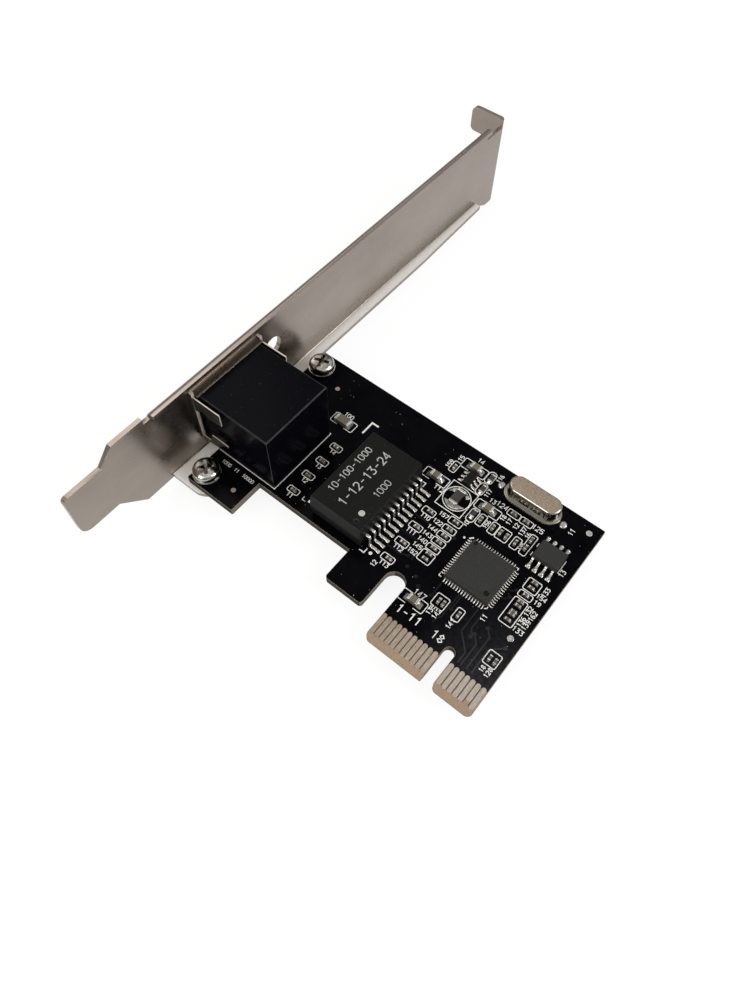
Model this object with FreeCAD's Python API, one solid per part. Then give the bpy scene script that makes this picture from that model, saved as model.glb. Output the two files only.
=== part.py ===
import FreeCAD
import Part
import math
import os

# Network interface card with one RJ45 socket, in millimetres.
# The origin is on the component face of the board, in the middle of the key notch, at the height
# where the bus contacts end. X runs away from the bracket, Y from the bus contacts to the top edge
# and Z from the board to its components.

# Circuit board
BOARD_THICKNESS = 1.57
BOARD_CORNER = 0.25
FAR_END_REACH = 8.15
LOWER_EDGE = 5.0
EAR_LENGTH = 10.55
EAR_DROP = 1.93
HOOK_LENGTH = 7.5
HOOK_DROP = 1.3
HOOK_CORNER = 0.6
SLOT_WIDTH = 3.8
SLOT_TOP = 6.9
KEY_WIDTH = 1.9
KEY_TOP = 2.0
KEY_CORNER = 0.2
TONGUE_DROP = 5.1
TONGUE_CORNER = 1.0
BEVEL_HEIGHT = 1.0
BEVEL_DEPTH = 0.36
TOP_MARGIN = 1.1

# Bus contacts
CONTACT_PITCH = 1.0
CONTACT_WIDTH = 0.75
CONTACT_BOTTOM = 4.05
CONTACT_MARGIN = 0.05
CONTACT_FOIL = 0.05
LONG_SIDE_CONTACTS = 11
SHORT_SIDE_CONTACTS = 7
FIRST_CONTACT_FROM_KEY = 1.5
SHORT_CONTACT_RISE = 0.75

# Bracket
SHEET = 0.86
BEND = 0.35
BRACKET_TO_BOARD = 3.36
BRACKET_OVER_SOCKET = 2.63
BRACKET_FOOT_DROP = 21.1
BRACKET_HEAD_RISE = 98.7
FOOT_FROM_SOLDER_EDGE = 4.9
FOOT_FROM_COMPONENT_EDGE = 2.95
FOOT_CORNER = 1.0
FOOT_SOLDER_CORNER = 2.0
SHOULDER_DROP = 13.5
LIP_START_DROP = 2.6
RELIEF_HEIGHT = 1.5
RELIEF_DEPTH = 1.1
COMPONENT_LIP_END = 92.0
COMPONENT_LIP_REACH = 0.9
SOLDER_LIP_END = 90.7
SOLDER_LIP_REACH = 2.1
SOLDER_LIP_TAPER = 22.0
SOLDER_LIP_END_REACH = 1.45
HEAD_NARROWING = 2.7
HEAD_EXTRA = 2.4
HEAD_SLOPE = 4.6
HEAD_CORNER = 1.4
TAB_REACH = 8.04
TAB_OVERHANG = 1.7
TAB_CORNER = 1.3
TAB_NOTCH_CORNER = 1.1
TAB_NOTCH_WIDTH = 4.42
TAB_NOTCH_DEPTH = 4.5
TAB_NOTCH_FROM_EDGE = 9.96
LAMP_HOLE = 4.0
LAMP_HOLE_RISE = 24.9
LAMP_HOLE_HEIGHT = 7.9
NUB_RISE = 82.5
NUB_LENGTH = 1.5
NUB_HEIGHT = 0.25

# Network socket
SOCKET_DEPTH = 18.08
SOCKET_WIDTH = 14.8
SOCKET_FLOOR = 1.0
SOCKET_ROOF = 3.36
SOCKET_MIDDLE = 13.35
SOCKET_PROUD = 0.58
SOCKET_CHAMFER = 0.15
SOCKET_FIT = 0.1
PLUG_WIDTH = 11.9
PLUG_HEIGHT = 6.9
LATCH_WIDTH = 6.1
LATCH_HEIGHT = 1.2
CATCH_WIDTH = 3.3
CATCH_HEIGHT = 0.9
CAVITY_DEPTH = 14.0
INSERT_WIDTH = 10.6
INSERT_HEIGHT = 1.7
INSERT_SETBACK = 2.4
INSERT_FIT = 0.05
SPRING_PITCH = 1.02
SPRING_WIDTH = 0.42
SPRING_THICKNESS = 0.3
SPRING_DROP = 2.3
SPRING_RUN = 7.4
SPRING_COUNT = 8
POST_RADIUS = 1.55
POST_SPREAD = 11.43
POST_DEPTH_SHARE = 0.508
POST_LENGTH = 2.4
SOCKET_PIN_WIDTH = 0.5
SOCKET_PIN_PITCH = 1.27
SOCKET_PIN_ROWS = 2.54
SOCKET_PINS_FROM_REAR = 2.5
SOCKET_PIN_END = 0.8
GROUND_FLANGE_SHEET = 0.34
GROUND_FLANGE_REACH = 1.15
GROUND_FLANGE_LIFT = 0.25
GROUND_ROOF_REACH = 1.95
GROUND_FINGER_REACH = 6.8
GROUND_FINGER_WIDTH = 3.3
GROUND_FINGER_DROP = 0.35
GROUND_FINGER_LIFT = 0.8
GROUND_FINGER_ROOT = 0.6

# Bracket screws
SCREW_RADIUS = 1.5
SCREW_HEAD_RADIUS = 2.6
SCREW_HEAD_HEIGHT = 2.0
SCREW_HEAD_RIM = 1.1
SCREW_HEAD_FLAT = 1.7
SCREW_RECESS_WIDTH = 0.55
SCREW_RECESS_REACH = 1.25
SCREW_RECESS_DEPTH = 1.1
SCREW_FROM_BOARD_EDGE = 2.0
SCREW_TAIL = 0.6
SCREW_HOLE_FIT = 0.1
THREAD_FIT = 0.02
LOWER_SCREW_RISE = 0.9
UPPER_SCREW_FROM_TOP = 3.2
EAR_TAB_RADIUS = 3.5

# Solder pads
PAD_FOIL = 0.04

# Network transformer
TRANSFORMER_LENGTH = 16.95
TRANSFORMER_WIDTH = 10.9
TRANSFORMER_HEIGHT = 5.3
TRANSFORMER_STANDOFF = 0.3
TRANSFORMER_DRAFT = 0.25
TRANSFORMER_TO_KEY = 27.35
TRANSFORMER_RISE = 14.72
TRANSFORMER_LEAD_COUNT = 12
LEAD_PITCH = 1.27
LEAD_WIDTH = 0.45
LEAD_THICKNESS = 0.25
LEAD_SHOULDER = 0.95
LEAD_FOOT = 1.3
LEAD_PAD_REACH = 3.0
LEAD_PAD_WIDTH = 0.7
TRANSFORMER_TO_SOCKET = 5.02

# Network controller
CONTROLLER_SIZE = 9.0
CONTROLLER_CAP = 8.5
CONTROLLER_TAPER = 0.15
CONTROLLER_BASE = 0.2
CONTROLLER_HEIGHT = 0.85
CONTROLLER_TO_KEY = 4.04
CONTROLLER_RISE = 15.14
CONTROLLER_LEAD_COUNT = 16
CONTROLLER_PITCH = 0.5
CONTROLLER_LEAD_WIDTH = 0.28

# Memory chip
MEMORY_LENGTH = 4.9
MEMORY_WIDTH = 3.9
MEMORY_HEIGHT = 1.35
MEMORY_STANDOFF = 0.15
MEMORY_DRAFT = 0.2
MEMORY_FROM_KEY = 3.3
MEMORY_RISE = 24.5
MEMORY_LEAD_COUNT = 4
MEMORY_LEAD_WIDTH = 0.41
MEMORY_LEAD_THICKNESS = 0.2
MEMORY_SHOULDER = 0.35
MEMORY_FOOT = 0.7
MEMORY_PAD_REACH = 1.85
MEMORY_PAD_WIDTH = 0.6

# Crystal
CRYSTAL_LENGTH = 9.9
CRYSTAL_WIDTH = 3.6
CRYSTAL_HEIGHT = 3.6
CRYSTAL_EDGE = 0.35
CRYSTAL_FLANGE = 0.55
CRYSTAL_FLANGE_THICKNESS = 0.4
CRYSTAL_BASE_LENGTH = 11.4
CRYSTAL_BASE_WIDTH = 4.8
CRYSTAL_BASE_THICKNESS = 0.5
CRYSTAL_TO_KEY = 4.35
CRYSTAL_RISE = 31.35
CRYSTAL_LEAD_WIDTH = 0.6
CRYSTAL_LEAD_REACH = 1.0
CRYSTAL_PAD_WIDTH = 1.5
CRYSTAL_PAD_LENGTH = 1.7

# Voltage regulator
REGULATOR_LENGTH = 2.9
REGULATOR_WIDTH = 1.6
REGULATOR_HEIGHT = 1.0
REGULATOR_STANDOFF = 0.1
REGULATOR_DRAFT = 0.1
REGULATOR_TO_KEY = 15.5
REGULATOR_RISE = 28.65
REGULATOR_LEAD_COUNT = 3
REGULATOR_PITCH = 0.95
REGULATOR_LEAD_WIDTH = 0.4
REGULATOR_LEAD_THICKNESS = 0.15
REGULATOR_SHOULDER = 0.25
REGULATOR_FOOT = 0.4
REGULATOR_PAD_REACH = 1.15
REGULATOR_PAD_WIDTH = 0.6

# Chip capacitors and resistors: length, width, height and length of each end cap
TINY_CHIP = (1.0, 0.5, 0.5, 0.25)
MEDIUM_CHIP = (2.0, 1.25, 1.1, 0.45)
LARGE_CHIP = (3.2, 1.6, 1.0, 0.5)
RESISTOR_CHIP = (1.6, 0.8, 0.45, 0.28)
MEDIUM_PAD = 0.6
LARGE_PAD = 0.35
RESISTOR_PAD = 0.2

# Distance of each column of chip parts from the parts beside it
SOCKET_COLUMN = 2.82
TRANSFORMER_COLUMN = 1.8
TINY_BY_SOCKET = (7.72, 11.58, 15.32, 19.12)
TINY_BY_TRANSFORMER = (7.75, 11.6, 15.35, 19.15)
TINY_BY_CONTROLLER = (20.25, 18.4, 16.9, 15.4, 13.95, 12.6, 11.5)
CONTROLLER_COLUMN = 3.96
FAR_COLUMN = 3.54
TINY_FAR = (19.15, 18.1, 16.45, 14.95, 14.15, 12.9, 12.3, 11.2)
TINY_UPRIGHT = (
    (-19.1, 29.15),
    (-9.5, 23.4),
    (-7.05, 23.4),
    (-5.5, 23.4),
    (-4.35, 23.4),
    (-2.5, 23.4),
    (-0.67, 25.5),
    (-0.67, 23.7),
    (-6.25, 7.0),
    (-5.4, 7.0),
    (-2.45, 7.0),
    (5.4, 4.3),
    (6.4, 4.3),
)
TINY_LEVEL = ((-5.75, 27.8), (-3.25, 27.8))
MEDIUM_LEVEL = (
    (-20.55, 25.45),
    (-16.0, 31.15),
    (-9.75, 25.75),
    (-9.45, 4.4),
)
RESISTORS = ((-12.7, 31.3), (-12.7, 28.5), (-11.1, 23.5))
BULK_TO_SOCKET = 0.25
BULK_RISE = 24.25
COIL_TO_KEY = 15.1
COIL_RISE = 24.2
COIL_PAD_RADIUS = 2.4

# Derived places
transformer_x = -TRANSFORMER_TO_KEY
transformer_pad_end = TRANSFORMER_WIDTH / 2 + LEAD_PAD_REACH
socket_rear = transformer_x - transformer_pad_end - TRANSFORMER_TO_SOCKET
socket_front = socket_rear - SOCKET_DEPTH
sheet_out = socket_front + SOCKET_PROUD
sheet_in = sheet_out + SHEET
board_left = sheet_in + BRACKET_TO_BOARD
board_top = CRYSTAL_RISE + CRYSTAL_BASE_WIDTH / 2 + TOP_MARGIN
ear_right = board_left + EAR_LENGTH
board_under = -BOARD_THICKNESS
catch_floor = SOCKET_FLOOR
latch_floor = catch_floor + CATCH_HEIGHT
plug_floor = latch_floor + LATCH_HEIGHT
cavity_roof = plug_floor + PLUG_HEIGHT
socket_top = cavity_roof + SOCKET_ROOF
bracket_upper = socket_top + BRACKET_OVER_SOCKET
lip_under = board_under - SHEET
bend_out = BEND + SHEET
screw_x = board_left + SCREW_FROM_BOARD_EDGE
screw_rises = (LOWER_SCREW_RISE, board_top - UPPER_SCREW_FROM_TOP)
contact_span = (LONG_SIDE_CONTACTS - 1) * CONTACT_PITCH + FIRST_CONTACT_FROM_KEY
tongue_left = -contact_span - CONTACT_WIDTH / 2 - CONTACT_MARGIN
slot_left = tongue_left - SLOT_WIDTH
hook_left = slot_left - HOOK_LENGTH
pad_top = PAD_FOIL


def box(x0, x1, y0, y1, z0, z1):
    return Part.makeBox(x1 - x0, y1 - y0, z1 - z0, FreeCAD.Vector(x0, y0, z0))


def outline(corners, place):
    """Closed wire through corners (a, b, radius), each rounded by a true arc."""
    count = len(corners)
    starts = []
    arcs = []
    for i, (a, b, radius) in enumerate(corners):
        corner = FreeCAD.Vector(a, b, 0)
        before = FreeCAD.Vector(*corners[i - 1][:2], 0) - corner
        after = FreeCAD.Vector(*corners[(i + 1) % count][:2], 0) - corner
        if radius == 0:
            starts.append((corner, corner))
            arcs.append(None)
            continue
        before.normalize()
        after.normalize()
        half = before.getAngle(after) / 2
        run = radius / math.tan(half)
        into = corner + before * run
        out = corner + after * run
        axis = before + after
        axis.normalize()
        middle = corner + axis * (radius / math.sin(half) - radius)
        starts.append((into, out))
        arcs.append(Part.Arc(place(into), place(middle), place(out)).toShape())
    edges = []
    for i in range(count):
        if arcs[i]:
            edges.append(arcs[i])
        here = starts[i][1]
        there = starts[(i + 1) % count][0]
        if here.distanceToPoint(there) > 1e-6:
            edges.append(Part.makeLine(place(here), place(there)))
    return Part.Face(Part.Wire(edges))


def level_plate(corners, z0, z1):
    face = outline(corners, lambda p: FreeCAD.Vector(p.x, p.y, z0))
    return face.extrude(FreeCAD.Vector(0, 0, z1 - z0))


def upright_plate(corners, x0, x1):
    """Corners are (y, z, radius)."""
    face = outline(corners, lambda p: FreeCAD.Vector(x0, p.x, p.y))
    return face.extrude(FreeCAD.Vector(x1 - x0, 0, 0))


def cross_plate(corners, y0, y1):
    """Corners are (x, z, radius)."""
    face = outline(corners, lambda p: FreeCAD.Vector(p.x, y0, p.y))
    return face.extrude(FreeCAD.Vector(0, y1 - y0, 0))


def cylinder(radius, x, y, z0, z1):
    return Part.makeCylinder(radius, z1 - z0, FreeCAD.Vector(x, y, z0))


def turned(shape, x, y, quarter):
    """Shape drawn round the origin, turned by quarter turns and moved to its place."""
    copy = shape.copy()
    copy.rotate(FreeCAD.Vector(0, 0, 0), FreeCAD.Vector(0, 0, 1), 90 * quarter)
    copy.translate(FreeCAD.Vector(x, y, 0))
    return copy


def row(count, pitch):
    return [(i - (count - 1) / 2) * pitch for i in range(count)]


def drafted_block(length, width, z0, z1, draft):
    """Moulded block round the origin, widest at its middle, where the mould parts."""
    middle = (z0 + z1) / 2
    halves = []
    for z in (z0, z1):
        rings = []
        for height, less in ((middle, 0), (z, draft)):
            a = length / 2 - less
            b = width / 2 - less
            ring = [(-a, -b), (a, -b), (a, b), (-a, b), (-a, -b)]
            rings.append(Part.makePolygon([FreeCAD.Vector(p, q, height) for p, q in ring]))
        halves.append(Part.makeLoft(rings, True, True))
    return halves[0].fuse(halves[1]).removeSplitter()


def gull_wing(inner, exit_height, shoulder, foot, thickness, width):
    """Lead that leaves a chip at x = inner, drops to its pad and ends in a foot."""
    top = exit_height + thickness / 2
    low = exit_height - thickness / 2
    knee = inner + shoulder
    toe = knee + foot
    lean = thickness / 2
    path = [
        (inner, low, 0),
        (knee - thickness - lean, low, 0),
        (knee - thickness, pad_top, 0),
        (toe, pad_top, 0),
        (toe, pad_top + thickness, 0),
        (knee, pad_top + thickness, 0),
        (knee - lean, top, 0),
        (inner, top, 0),
    ]
    return cross_plate(path, -width / 2, width / 2)


def chip_parts(size, pad_out):
    """Body, two end caps and two pads of a chip part that lies along X at the origin.

    The smallest parts hide their pads, and lie on the board.
    """
    length, width, height, cap_length = size
    inner = length / 2 - cap_length
    low = pad_top if pad_out else 0
    top = low + height
    body = box(-inner, inner, -width / 2, width / 2, low, top)
    caps = []
    pads = []
    for quarter in (0, 2):
        cap = box(inner, length / 2, -width / 2, width / 2, low, top)
        caps.append(turned(cap, 0, 0, quarter))
        if pad_out:
            pad = box(inner, length / 2 + pad_out, -width / 2, width / 2, 0, pad_top)
            pads.append(turned(pad, 0, 0, quarter))
    return body, caps, pads


def make_board():
    key = KEY_WIDTH / 2
    slot = SLOT_WIDTH / 2
    plate = level_plate(
        [
            (board_left, -EAR_DROP, BOARD_CORNER),
            (ear_right, -EAR_DROP, BOARD_CORNER),
            (ear_right, LOWER_EDGE, 0),
            (hook_left, LOWER_EDGE, 0),
            (hook_left, -HOOK_DROP, HOOK_CORNER),
            (slot_left, -HOOK_DROP, HOOK_CORNER),
            (slot_left, SLOT_TOP, slot),
            (tongue_left, SLOT_TOP, slot),
            (tongue_left, -TONGUE_DROP, TONGUE_CORNER),
            (-key, -TONGUE_DROP, KEY_CORNER),
            (-key, KEY_TOP, key),
            (key, KEY_TOP, key),
            (key, -TONGUE_DROP, TONGUE_CORNER),
            (FAR_END_REACH, -TONGUE_DROP, TONGUE_CORNER),
            (FAR_END_REACH, board_top, BOARD_CORNER),
            (board_left, board_top, BOARD_CORNER),
        ],
        board_under,
        0,
    )
    bevel_top = BEVEL_HEIGHT - TONGUE_DROP
    for face, inward in ((0, -1), (board_under, 1)):
        wedge = [
            FreeCAD.Vector(tongue_left, bevel_top, face),
            FreeCAD.Vector(tongue_left, -TONGUE_DROP, face),
            FreeCAD.Vector(tongue_left, -TONGUE_DROP, face + inward * BEVEL_DEPTH),
        ]
        triangle = Part.Face(Part.makePolygon(wedge + wedge[:1]))
        plate = plate.cut(triangle.extrude(FreeCAD.Vector(FAR_END_REACH - tongue_left, 0, 0)))
    for y in screw_rises:
        plate = plate.cut(cylinder(SCREW_RADIUS + SCREW_HOLE_FIT, screw_x, y, board_under, 0))
    for side in (-1, 1):
        y = SOCKET_MIDDLE + side * POST_SPREAD / 2
        x = socket_front + SOCKET_DEPTH * POST_DEPTH_SHARE
        plate = plate.cut(cylinder(POST_RADIUS + SOCKET_FIT, x, y, board_under, 0))
    return plate


def contact_places():
    right = [FIRST_CONTACT_FROM_KEY + i * CONTACT_PITCH for i in range(SHORT_SIDE_CONTACTS)]
    left = [-FIRST_CONTACT_FROM_KEY - i * CONTACT_PITCH for i in range(LONG_SIDE_CONTACTS)]
    return sorted(left + right)


def make_contacts(short_places, z0, z1):
    half = CONTACT_WIDTH / 2
    contacts = []
    for i, x in enumerate(contact_places()):
        bottom = -CONTACT_BOTTOM
        if i in short_places:
            bottom = bottom + SHORT_CONTACT_RISE
        corners = [
            (x - half, bottom, 0),
            (x + half, bottom, 0),
            (x + half, -half, 0),
            (x + half / 2, 0, 0),
            (x - half / 2, 0, 0),
            (x - half, -half, 0),
        ]
        contacts.append(level_plate(corners, z0, z1))
    return contacts


def make_bracket():
    foot_low = lip_under + FOOT_FROM_SOLDER_EDGE
    foot_high = bracket_upper - FOOT_FROM_COMPONENT_EDGE
    fold_low = lip_under + bend_out
    fold_high = bracket_upper - bend_out
    head_low = lip_under - HEAD_EXTRA
    head_high = bracket_upper - HEAD_NARROWING
    relief = -LIP_START_DROP - RELIEF_HEIGHT
    solder_shoulder = foot_low - lip_under - SHOULDER_DROP
    component_shoulder = bracket_upper - foot_high - SHOULDER_DROP
    web = upright_plate(
        [
            (-BRACKET_FOOT_DROP, foot_low, FOOT_SOLDER_CORNER),
            (-SHOULDER_DROP, foot_low, 0),
            (solder_shoulder, lip_under, 0),
            (-LIP_START_DROP, lip_under, 0),
            (-LIP_START_DROP, fold_low, 0),
            (SOLDER_LIP_END, fold_low, 0),
            (SOLDER_LIP_END, lip_under, 0),
            (SOLDER_LIP_END + HEAD_SLOPE, head_low, 0),
            (BRACKET_HEAD_RISE - bend_out, head_low, 0),
            (BRACKET_HEAD_RISE - bend_out, head_high, 0),
            (COMPONENT_LIP_END, head_high, 0),
            (COMPONENT_LIP_END, fold_high, 0),
            (-LIP_START_DROP, fold_high, 0),
            (-LIP_START_DROP, bracket_upper - RELIEF_DEPTH, 0),
            (relief, bracket_upper - RELIEF_DEPTH, 0),
            (relief, bracket_upper, 0),
            (component_shoulder, bracket_upper, 0),
            (-SHOULDER_DROP, foot_high, 0),
            (-BRACKET_FOOT_DROP, foot_high, FOOT_CORNER),
        ],
        sheet_out,
        sheet_in,
    )
    component_lip = cross_plate(
        [
            (sheet_out, fold_high, 0),
            (sheet_in, fold_high, 0),
            (sheet_in, bracket_upper - SHEET, BEND),
            (sheet_in + COMPONENT_LIP_REACH, bracket_upper - SHEET, 0),
            (sheet_in + COMPONENT_LIP_REACH, bracket_upper, 0),
            (sheet_out, bracket_upper, bend_out),
        ],
        -LIP_START_DROP,
        COMPONENT_LIP_END,
    )
    solder_lip = cross_plate(
        [
            (sheet_out, fold_low, 0),
            (sheet_out, lip_under, bend_out),
            (sheet_in + SOLDER_LIP_REACH, lip_under, 0),
            (sheet_in + SOLDER_LIP_REACH, board_under, 0),
            (sheet_in, board_under, BEND),
            (sheet_in, fold_low, 0),
        ],
        -LIP_START_DROP,
        SOLDER_LIP_END,
    )
    solder_lip = taper_lip(solder_lip)
    bracket = web.fuse([component_lip, solder_lip, make_screw_tab(head_low, head_high)])
    bracket = round_head_corner(bracket, head_low)
    bracket = bracket.fuse([make_ear_tab(y) for y in screw_rises])
    opening = box(
        sheet_out,
        sheet_in,
        SOCKET_MIDDLE - SOCKET_WIDTH / 2 - SOCKET_FIT,
        SOCKET_MIDDLE + SOCKET_WIDTH / 2 + SOCKET_FIT,
        -SOCKET_FIT,
        socket_top + SOCKET_FIT,
    )
    bracket = bracket.fuse(make_ground_flanges()).cut(opening)
    lamp_hole = Part.makeCylinder(
        LAMP_HOLE / 2,
        SHEET,
        FreeCAD.Vector(sheet_out, LAMP_HOLE_RISE, LAMP_HOLE_HEIGHT),
        FreeCAD.Vector(1, 0, 0),
    )
    bracket = bracket.cut(lamp_hole)
    nub = Part.makeCylinder(
        NUB_HEIGHT,
        NUB_LENGTH,
        FreeCAD.Vector(sheet_in + COMPONENT_LIP_REACH / 2, NUB_RISE - NUB_LENGTH / 2, bracket_upper),
        FreeCAD.Vector(0, 1, 0),
    )
    return bracket.fuse(nub).removeSplitter()


def taper_lip(lip):
    """Narrows the solder-side lip towards its far end."""
    edge = sheet_in + SOLDER_LIP_REACH
    cut = level_plate(
        [
            (edge, SOLDER_LIP_END - SOLDER_LIP_TAPER, 0),
            (edge, SOLDER_LIP_END, 0),
            (sheet_in + SOLDER_LIP_END_REACH, SOLDER_LIP_END, 0),
        ],
        lip_under,
        board_under,
    )
    return lip.cut(cut)


def round_head_corner(bracket, head_low):
    """Rounds the corner where the far edge of the bracket turns into the screw tab."""
    tip = sheet_in - TAB_REACH
    start = BRACKET_HEAD_RISE - HEAD_CORNER
    middle = head_low + HEAD_CORNER
    corner = box(tip, sheet_in, start, BRACKET_HEAD_RISE, head_low, middle)
    along = FreeCAD.Vector(1, 0, 0)
    rounding = Part.makeCylinder(HEAD_CORNER, TAB_REACH, FreeCAD.Vector(tip, start, middle), along)
    return bracket.cut(corner.cut(rounding))


def make_screw_tab(head_low, head_high):
    top = BRACKET_HEAD_RISE
    tip = sheet_in - TAB_REACH
    profile = outline(
        [
            (sheet_in, top - bend_out, 0),
            (sheet_in, top, bend_out),
            (tip, top, 0),
            (tip, top - SHEET, 0),
            (sheet_out, top - SHEET, BEND),
            (sheet_out, top - bend_out, 0),
        ],
        lambda p: FreeCAD.Vector(p.x, p.y, head_low),
    )
    tab_high = head_high + TAB_OVERHANG
    bent = profile.extrude(FreeCAD.Vector(0, 0, tab_high - head_low))
    notch_middle = head_low + TAB_NOTCH_FROM_EDGE + TAB_NOTCH_WIDTH / 2
    half = TAB_NOTCH_WIDTH / 2
    shape = cross_plate(
        [
            (sheet_in, head_low, 0),
            (sheet_in, tab_high, 0),
            (tip, tab_high, TAB_CORNER),
            (tip, notch_middle + half, TAB_NOTCH_CORNER),
            (tip + TAB_NOTCH_DEPTH, notch_middle + half, half),
            (tip + TAB_NOTCH_DEPTH, notch_middle - half, half),
            (tip, notch_middle - half, TAB_NOTCH_CORNER),
            (tip, head_low, TAB_CORNER),
        ],
        top - bend_out,
        top,
    )
    return bent.common(shape)


def make_ear_tab(y):
    """Tongue of the solder-side lip that carries a board screw."""
    lip_edge = sheet_in + SOLDER_LIP_REACH - BEND
    low = max(y - EAR_TAB_RADIUS, -LIP_START_DROP)
    bridge = box(lip_edge, screw_x, low, y + EAR_TAB_RADIUS, lip_under, board_under)
    pad = cylinder(EAR_TAB_RADIUS, screw_x, y, lip_under, board_under)
    hole = cylinder(SCREW_RADIUS + THREAD_FIT, screw_x, y, lip_under, board_under)
    return bridge.fuse(pad).cut(hole)


def make_ground_flanges():
    """Thin flanges folded in round the socket, with contact fingers along its sides."""
    side = SOCKET_WIDTH / 2 + SOCKET_FIT
    outer = side + GROUND_FLANGE_SHEET
    edge = sheet_in + GROUND_FLANGE_REACH
    finger = sheet_in + GROUND_FINGER_REACH
    top = socket_top + SOCKET_FIT
    low = GROUND_FLANGE_LIFT
    upper_finger = top - GROUND_FINGER_DROP
    lower_finger = low + GROUND_FINGER_LIFT
    width = GROUND_FINGER_WIDTH
    root = GROUND_FINGER_ROOT
    corners = [
        (sheet_out, low, 0),
        (edge, low, 0),
        (edge, lower_finger, 0),
        (finger, lower_finger, 0),
        (finger, lower_finger + width, 0),
        (edge, lower_finger + width, root),
        (edge, upper_finger - width, root),
        (finger, upper_finger - width, 0),
        (finger, upper_finger, 0),
        (edge, upper_finger, 0),
        (edge, top, 0),
        (sheet_out, top, 0),
    ]
    roof = (SOCKET_MIDDLE - outer, SOCKET_MIDDLE + outer, top, top + GROUND_FLANGE_SHEET)
    return [
        cross_plate(corners, SOCKET_MIDDLE - outer, SOCKET_MIDDLE - side),
        cross_plate(corners, SOCKET_MIDDLE + side, SOCKET_MIDDLE + outer),
        box(sheet_out, sheet_in + GROUND_ROOF_REACH, *roof),
    ]


def make_socket():
    half = SOCKET_WIDTH / 2
    plug = PLUG_WIDTH / 2
    latch = LATCH_WIDTH / 2
    catch = CATCH_WIDTH / 2
    middle = SOCKET_MIDDLE
    block = box(socket_front, socket_rear, middle - half, middle + half, 0, socket_top)
    long_edges = []
    for edge in block.Edges:
        a, b = edge.Vertexes[0].Point, edge.Vertexes[1].Point
        if abs(a.z - socket_top) < 1e-6 and abs(b.z - socket_top) < 1e-6:
            long_edges.append(edge)
    block = block.makeChamfer(SOCKET_CHAMFER, long_edges)
    cavity = upright_plate(
        [
            (middle - plug, plug_floor, 0),
            (middle - latch, plug_floor, 0),
            (middle - latch, latch_floor, 0),
            (middle - catch, latch_floor, 0),
            (middle - catch, catch_floor, 0),
            (middle + catch, catch_floor, 0),
            (middle + catch, latch_floor, 0),
            (middle + latch, latch_floor, 0),
            (middle + latch, plug_floor, 0),
            (middle + plug, plug_floor, 0),
            (middle + plug, cavity_roof, 0),
            (middle - plug, cavity_roof, 0),
        ],
        socket_front,
        socket_front + CAVITY_DEPTH,
    )
    pocket = INSERT_WIDTH / 2 + INSERT_FIT
    insert_room = box(
        socket_front + INSERT_SETBACK,
        socket_front + CAVITY_DEPTH,
        middle - pocket,
        middle + pocket,
        cavity_roof,
        cavity_roof + INSERT_HEIGHT + INSERT_FIT,
    )
    posts = []
    for side in (-1, 1):
        x = socket_front + SOCKET_DEPTH * POST_DEPTH_SHARE
        posts.append(cylinder(POST_RADIUS, x, middle + side * POST_SPREAD / 2, -POST_LENGTH, 0))
    return block.cut(cavity).cut(insert_room).fuse(posts).removeSplitter()


def make_insert():
    half = INSERT_WIDTH / 2
    front = socket_front + INSERT_SETBACK + INSERT_FIT
    rear = socket_front + CAVITY_DEPTH
    return box(
        front,
        rear,
        SOCKET_MIDDLE - half,
        SOCKET_MIDDLE + half,
        cavity_roof,
        cavity_roof + INSERT_HEIGHT,
    )


def make_springs():
    """Hairpin contacts: each lies under the insert and bends back down towards the plug."""
    t = SPRING_THICKNESS
    front = socket_front + INSERT_SETBACK + INSERT_FIT + t
    rear = socket_front + CAVITY_DEPTH
    slope = math.atan2(SPRING_DROP - 2 * t, SPRING_RUN)
    lift = t / math.cos(slope)
    turn = cavity_roof - 3 * t
    low = cavity_roof - SPRING_DROP
    path = [
        (rear, cavity_roof, 0),
        (front, cavity_roof, t * 1.4),
        (front, turn, 0),
        (front + SPRING_RUN, low, 0),
        (front + SPRING_RUN, low + lift, 0),
        (front + t, turn + lift, 0),
        (front + t, cavity_roof - t, 0),
        (rear, cavity_roof - t, 0),
    ]
    springs = []
    for offset in row(SPRING_COUNT, SPRING_PITCH):
        y = SOCKET_MIDDLE + offset
        springs.append(cross_plate(path, y - SPRING_WIDTH / 2, y + SPRING_WIDTH / 2))
    return springs


def make_screw(y):
    """Pan-head screw with a cross recess, turned about its own axis."""
    end = lip_under - SCREW_TAIL
    top = SCREW_HEAD_HEIGHT
    section = [
        (0, end),
        (SCREW_RADIUS, end),
        (SCREW_RADIUS, 0),
        (SCREW_HEAD_RADIUS, 0),
        (SCREW_HEAD_RADIUS, SCREW_HEAD_RIM),
        (SCREW_HEAD_FLAT, top),
        (0, top),
        (0, end),
    ]
    half_section = Part.Face(Part.makePolygon([FreeCAD.Vector(r, 0, z) for r, z in section]))
    screw = half_section.revolve(FreeCAD.Vector(0, 0, 0), FreeCAD.Vector(0, 0, 1), 360)
    long_arm = SCREW_RECESS_REACH
    half = SCREW_RECESS_WIDTH / 2
    low = top - SCREW_RECESS_DEPTH
    cross = box(-long_arm, long_arm, -half, half, low, top)
    cross = cross.fuse(box(-half, half, -long_arm, long_arm, low, top))
    return turned(screw.cut(cross), screw_x, y, 0)


def two_sided_leads(lead, half_width, places, x, y, turn):
    """Copies of a lead drawn from x = 0 outward, along both long sides of a chip."""
    copies = []
    for side in (0, 2):
        for place in places:
            copy = lead.copy()
            copy.translate(FreeCAD.Vector(half_width, place, 0))
            copies.append(turned(copy, 0, 0, side + turn))
    for copy in copies:
        copy.translate(FreeCAD.Vector(x, y, 0))
    return copies


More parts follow.
